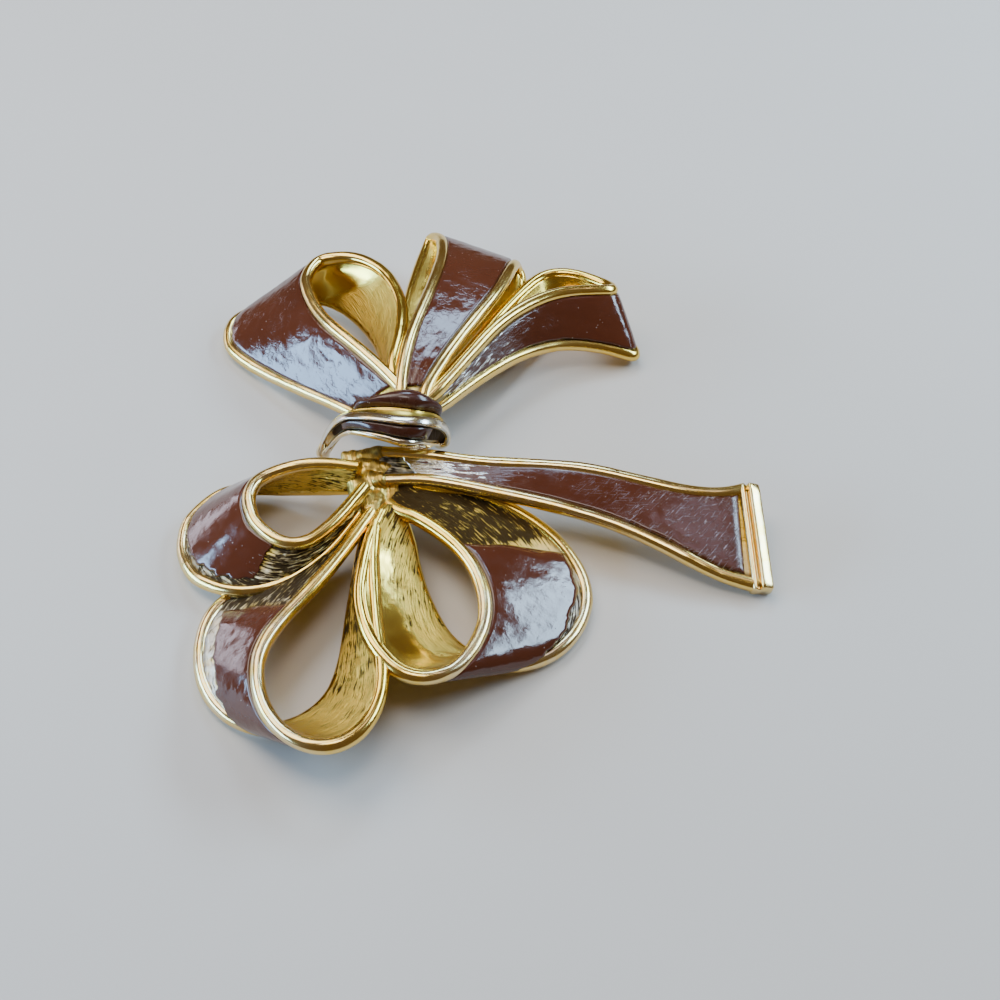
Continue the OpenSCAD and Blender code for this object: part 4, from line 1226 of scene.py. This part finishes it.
def enamel_paint(name, colour, dark, dullness):
    """Glossy enamel with soft ripples, painted shade along its edges and cracks, specks and
    fine scratches, worn through to streaked metal where marked."""
    casting = bpy.context.scene.brooch_casting
    paint = Paint(name)
    thin, worn, rippled, scuffed = map(paint.mark, ("thin", "worn", "rippled", "scuffed"))
    patches = paint.noise(110, detail=3)
    cloud = paint.noise(620, detail=4, roughness=0.6)
    # Random darker patches, and painted shade along the edges and cracks
    shade = paint.most(paint.ramp(patches, 0.35, 0.75, 0, 0.55), paint.ramp(thin, 0.3, 1))
    body = paint.blend(shade, opaque(colour), opaque(dark))
    specks = paint.ramp(paint.cells(1700), 0.13, 0.07)
    some = paint.ramp(paint.noise(500, detail=2), 0.5, 0.6)
    spots = paint.times(specks, some)
    body = paint.blend(paint.times(spots, 0.6), body, opaque(SPECK_COLOUR))
    # Enamel is worn away on the ridges of the streaked metal below it
    streaks = paint.noise(1, detail=4, roughness=0.65, vector=paint.stretched((500, 3000, 1)))
    level = paint.less(0.78, paint.times(worn, 0.42))
    bare = paint.ramp(paint.less(streaks, level), -0.04, 0.05)
    body = paint.blend(bare, body, opaque(casting.worn))
    lines = paint.most(scratches(paint, -55), paint.times(scratches(paint, -14), 0.5))
    hatch = paint.times(lines, paint.times(scuffed, paint.ramp(cloud, 0.35, 0.6)))
    body = paint.blend(paint.times(hatch, 0.6), body, opaque(SCRATCH_COLOUR))
    paint.feed("Base Color", body)
    paint.feed("Metallic", bare)
    smear = paint.ramp(cloud, 0.35, 0.7, 0.09 + dullness, 0.2 + dullness)
    dull = paint.plus(smear, paint.times(spots, 0.4))
    paint.feed("Roughness", paint.plus(dull, paint.times(scuffed, 0.14)))
    paint.feed("IOR", 1.52)
    paint.feed("Coat Weight", 0.15)
    paint.feed("Coat Roughness", 0.05)
    broad = paint.noise(520, distortion=0.6)
    small = paint.noise(1700, roughness=0.6, distortion=0.3)
    ripples = paint.bump(broad, 0.07 * MM, 0.45)
    dimples = paint.bump(small, 0.03 * MM, 0.4, ripples)
    crackle = paint.ramp(paint.cells(1300, "DISTANCE_TO_EDGE"), 0, 0.12)
    crazed = paint.times(paint.ramp(cloud, 0.4, 0.65),
                         paint.ramp(rippled, 0.45, 0.75, 0.1, 1))
    dimples = paint.bump(crackle, 0.012 * MM, crazed, dimples)
    pits = paint.bump(spots, 0.03 * MM, 0.6, dimples)
    metal = paint.bump(streaks, 0.16 * MM, paint.ramp(worn, 0, 0.6), pits)
    paint.feed("Normal", paint.bump(hatch, 0.08 * MM, 1, metal))
    return paint.material


# Half the floor's side, and where it starts and ends to turn into the backdrop, in
# millimetres from the brooch
FLOOR_HALF = 4000
FLOOR_FADE = (250, 500)
# Brightness of the backdrop beyond the floor
BACKDROP = 0.6


def floor_paint():
    """Plain pale floor, barely mottled, that turns into the backdrop far away."""
    stage = bpy.context.scene.brooch_stage
    paint = Paint("Plain pale floor")
    patches = paint.noise(30, detail=2)
    darker = tuple(0.95 * c for c in stage.floor)
    near = paint.blend(patches, opaque(stage.floor), opaque(darker))
    reach = paint.node("ShaderNodeVectorMath", operation="LENGTH")
    paint.link(paint.places.outputs["Object"], reach.inputs[0])
    far = paint.ramp(reach.outputs["Value"], *(away * MM for away in FLOOR_FADE))
    rays = paint.node("ShaderNodeLightPath")
    seen = paint.times(far, rays.outputs["Is Camera Ray"])
    paint.feed("Base Color", paint.blend(seen, near, opaque((0, 0, 0))))
    paint.feed("Emission Strength", paint.times(seen, BACKDROP))
    paint.feed("Emission Color", opaque(stage.floor))
    paint.feed("Roughness", 0.7)
    return paint.material


def shared_gold():
    """The gold that all castings share, made the first time that it is asked for."""
    return bpy.data.materials.get("Polished cast gold") or gold_paint()


def cast_loops(names, pleats, name, node, extra=()):
    """Ribbons with a common root, and any extra meshes, fused into one casting."""
    gold = shared_gold()
    tools = rim_tree()
    meshes = list(extra)
    for ribbon in (Ribbon(n) for n in names):
        meshes.append(close_up(sheet_mesh(ribbon)))
        meshes.extend(rim_meshes(ribbon, gold, tools))
    meshes.append(gathered_root(pleats))
    fuse(name, meshes, gold, GOLD_SLOT, node)


class BROOCH_OT_upper_loops(bpy.types.Operator):
    """Cast the three loops that fan away from the knot"""

    bl_idname = "brooch.upper_loops"
    bl_label = "Upper Loops"

    def execute(self, context):
        cast_loops(UPPER, UPPER_PLEATS, "upper_loops_cast", "upper_loops")
        return {"FINISHED"}


class BROOCH_OT_lower_loops(bpy.types.Operator):
    """Cast the three lower loops and the tail with its end bar"""

    bl_idname = "brooch.lower_loops"
    bl_label = "Lower Loops"

    def execute(self, context):
        cast_loops(LOWER, LOWER_PLEATS + TAIL_FILLET, "lower_loops_cast", "lower_loops",
                   [end_bar_mesh(Ribbon("tail"))])
        return {"FINISHED"}


class BROOCH_OT_knot(bpy.types.Operator):
    """Wrap the knot band over both roots and fill it with enamel"""

    bl_idname = "brooch.knot"
    bl_label = "Knot"

    def execute(self, context):
        enamel = context.scene.brooch_enamel
        gold, tools, knot = shared_gold(), rim_tree(), Knot()
        band = [knot_mesh(knot)]
        band += [knot_bead_mesh(knot, gold, tools, right) for right in (True, False)]
        fuse("knot_band_cast", band, gold, GOLD_SLOT, "knot_band")
        chocolate = enamel_paint("Chocolate enamel", enamel.dark, KNOT_DARK, KNOT_DULLNESS)
        front = knot_strip_mesh(knot, knot.front_foot, knot.front_crest, KNOT_FRONT_PANEL)
        cap = knot_strip_mesh(knot, knot.cap_front, knot.cap_back, KNOT_CAP_PANEL)
        fuse("knot_enamel_fill", [front, cap], chocolate, ENAMEL_SLOT, "knot_enamel")
        return {"FINISHED"}


class BROOCH_OT_enamel(bpy.types.Operator):
    """Fill each ribbon's channel with enamel"""

    bl_idname = "brooch.enamel"
    bl_label = "Enamel Panels"

    def execute(self, context):
        enamel = context.scene.brooch_enamel
        brown = enamel_paint("Brown enamel", enamel.colour, enamel.dark, 0)
        for name in UPPER + LOWER:
            mesh = close_up(enamel_mesh(Ribbon(name)))
            fuse(name + "_enamel_fill", [mesh], brown, ENAMEL_SLOT, name + "_enamel")
        return {"FINISHED"}


class BROOCH_OT_pin(bpy.types.Operator):
    """Finish the plain pin on the back"""

    bl_idname = "brooch.pin"
    bl_label = "Pin"

    def execute(self, context):
        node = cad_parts["pin"]
        node.data.materials.clear()
        node.data.materials.append(shared_gold())
        return {"FINISHED"}


def area_light(name, place, size, power, colour):
    """A soft rectangular light that faces the brooch, placed and sized in millimetres."""
    light = bpy.data.lights.new(name, "AREA")
    light.shape = "RECTANGLE"
    light.size, light.size_y = (s * MM for s in size)
    light.energy = power
    light.color = colour
    lamp = bpy.data.objects.new(name, light)
    lamp.location = Vector(place) * MM
    aim = (-Vector(place)).to_track_quat("-Z", "Y")
    lamp.rotation_euler = aim.to_euler()
    bpy.context.scene.collection.objects.link(lamp)


# What the camera looks at, in millimetres, and how near and far it sees, in metres
LOOK_AT = (3.05, -3.2, 0.35)
CLIP = (0.001, 10)
# Azimuth and height in degrees, distance, width and height in millimetres, brightness in
# watts, colour
LIGHTS = {
    "key": (144, 57, 380, (240, 240), 0.92, (1.0, 0.95, 0.86)),
    "top": (270, 82, 360, (140, 120), 0.38, (1.0, 0.97, 0.92)),
    "window": (187, 17, 300, (255, 72), 1.45, (0.36, 0.64, 1.0)),
    "back": (86, 46, 300, (95, 70), 0.32, (0.5, 0.72, 1.0)),
    "side": (22, 34, 300, (240, 60), 1.05, (0.52, 0.76, 1.0)),
    "glow": (28, 67, 360, (90, 66), 0.045, (0.8, 0.74, 1.0)),
    "low": (148, 6, 300, (120, 36), 0.085, (0.85, 0.8, 0.95)),
}
# Colour and strength of the light from all round
ROOM = (0.62, 0.44, 0.26)
ROOM_STRENGTH = 0.22


def lay_floor(scene):
    """The plain floor that the brooch lies on."""
    corners = [(FLOOR_HALF * x, FLOOR_HALF * y, 0)
               for x, y in ((-1, -1), (1, -1), (1, 1), (-1, 1))]
    mesh = new_mesh("floor", corners, [(0, 1, 2, 3)])
    mesh.materials.append(floor_paint())
    floor = bpy.data.objects.new("floor", mesh)
    scene.collection.objects.link(floor)


def place_camera(scene):
    """The camera in front of the brooch, looking down at it."""
    stage = scene.brooch_stage
    lens = bpy.data.cameras.new("camera")
    lens.angle = stage.field
    lens.clip_start, lens.clip_end = CLIP
    camera = bpy.data.objects.new("camera", lens)
    back = Vector((0, -math.cos(stage.elevation), math.sin(stage.elevation)))
    camera.location = Vector(LOOK_AT) * MM + back * stage.distance
    camera.rotation_euler = (math.pi / 2 - stage.elevation, 0, 0)
    scene.collection.objects.link(camera)
    scene.camera = camera


def light_room(scene):
    """Dim light from all round, and a backdrop that only the camera sees."""
    world = bpy.data.worlds.new("studio")
    scene.world = world
    world.use_nodes = True
    nodes, link = world.node_tree.nodes, world.node_tree.links.new
    # What the camera sees past the floor is as pale as the floor
    light, seen = nodes["Background"], nodes.new("ShaderNodeBackground")
    for shade, colour, strength in ((light, ROOM, ROOM_STRENGTH),
                                    (seen, scene.brooch_stage.floor, BACKDROP)):
        shade.inputs["Color"].default_value = opaque(colour)
        shade.inputs["Strength"].default_value = strength
    ray = nodes.new("ShaderNodeLightPath")
    both = nodes.new("ShaderNodeMixShader")
    link(ray.outputs["Is Camera Ray"], both.inputs["Fac"])
    link(light.outputs["Background"], both.inputs[1])
    link(seen.outputs["Background"], both.inputs[2])
    link(both.outputs["Shader"], nodes["World Output"].inputs["Surface"])


class BROOCH_OT_stage(bpy.types.Operator):
    """Lay the floor, place the camera and set the lights"""

    bl_idname = "brooch.stage"
    bl_label = "Stage"

    def execute(self, context):
        scene = context.scene
        lay_floor(scene)
        place_camera(scene)
        for name, (turn, rise, away, size, power, colour) in LIGHTS.items():
            turn, rise = math.radians(turn), math.radians(rise)
            place = (away * math.cos(rise) * math.cos(turn),
                     away * math.cos(rise) * math.sin(turn), away * math.sin(rise))
            size = [s * scene.brooch_stage.soften / 100 for s in size]
            area_light(name, place, size, power, colour)
        light_room(scene)
        return {"FINISHED"}


class BROOCH_PT_panel(bpy.types.Panel):
    """Sizes, colours and steps of the brooch"""

    bl_label = "Bow Brooch"
    bl_idname = "BROOCH_PT_panel"
    bl_space_type = "VIEW_3D"
    bl_region_type = "UI"
    bl_category = "Brooch"

    def draw(self, context):
        for group in (context.scene.brooch_casting, context.scene.brooch_enamel,
                      context.scene.brooch_stage):
            box = self.layout.box()
            for name in group.__annotations__:
                box.prop(group, name)
        for step in OPERATORS:
            self.layout.operator(step.bl_idname)


OPERATORS = (BROOCH_OT_stage, BROOCH_OT_upper_loops, BROOCH_OT_lower_loops, BROOCH_OT_knot,
             BROOCH_OT_enamel, BROOCH_OT_pin)
GROUPS = {"brooch_casting": BroochCasting, "brooch_enamel": BroochEnamel,
          "brooch_stage": BroochStage}


def register():
    """Add the groups, the operators and the panel."""
    for name, group in GROUPS.items():
        bpy.utils.register_class(group)
        setattr(bpy.types.Scene, name, PointerProperty(type=group))
    for made in (*OPERATORS, BROOCH_PT_panel):
        bpy.utils.register_class(made)


def unregister():
    """Take the panel, the operators and the groups out again."""
    for made in reversed((*OPERATORS, BROOCH_PT_panel)):
        bpy.utils.unregister_class(made)
    for name, group in reversed(GROUPS.items()):
        delattr(bpy.types.Scene, name)
        bpy.utils.unregister_class(group)


def main():
    """Build the whole brooch."""
    register()
    bpy.ops.brooch.stage()
    bpy.ops.brooch.upper_loops()
    bpy.ops.brooch.lower_loops()
    bpy.ops.brooch.knot()
    bpy.ops.brooch.enamel()
    bpy.ops.brooch.pin()


if __name__ == "__main__":
    main()
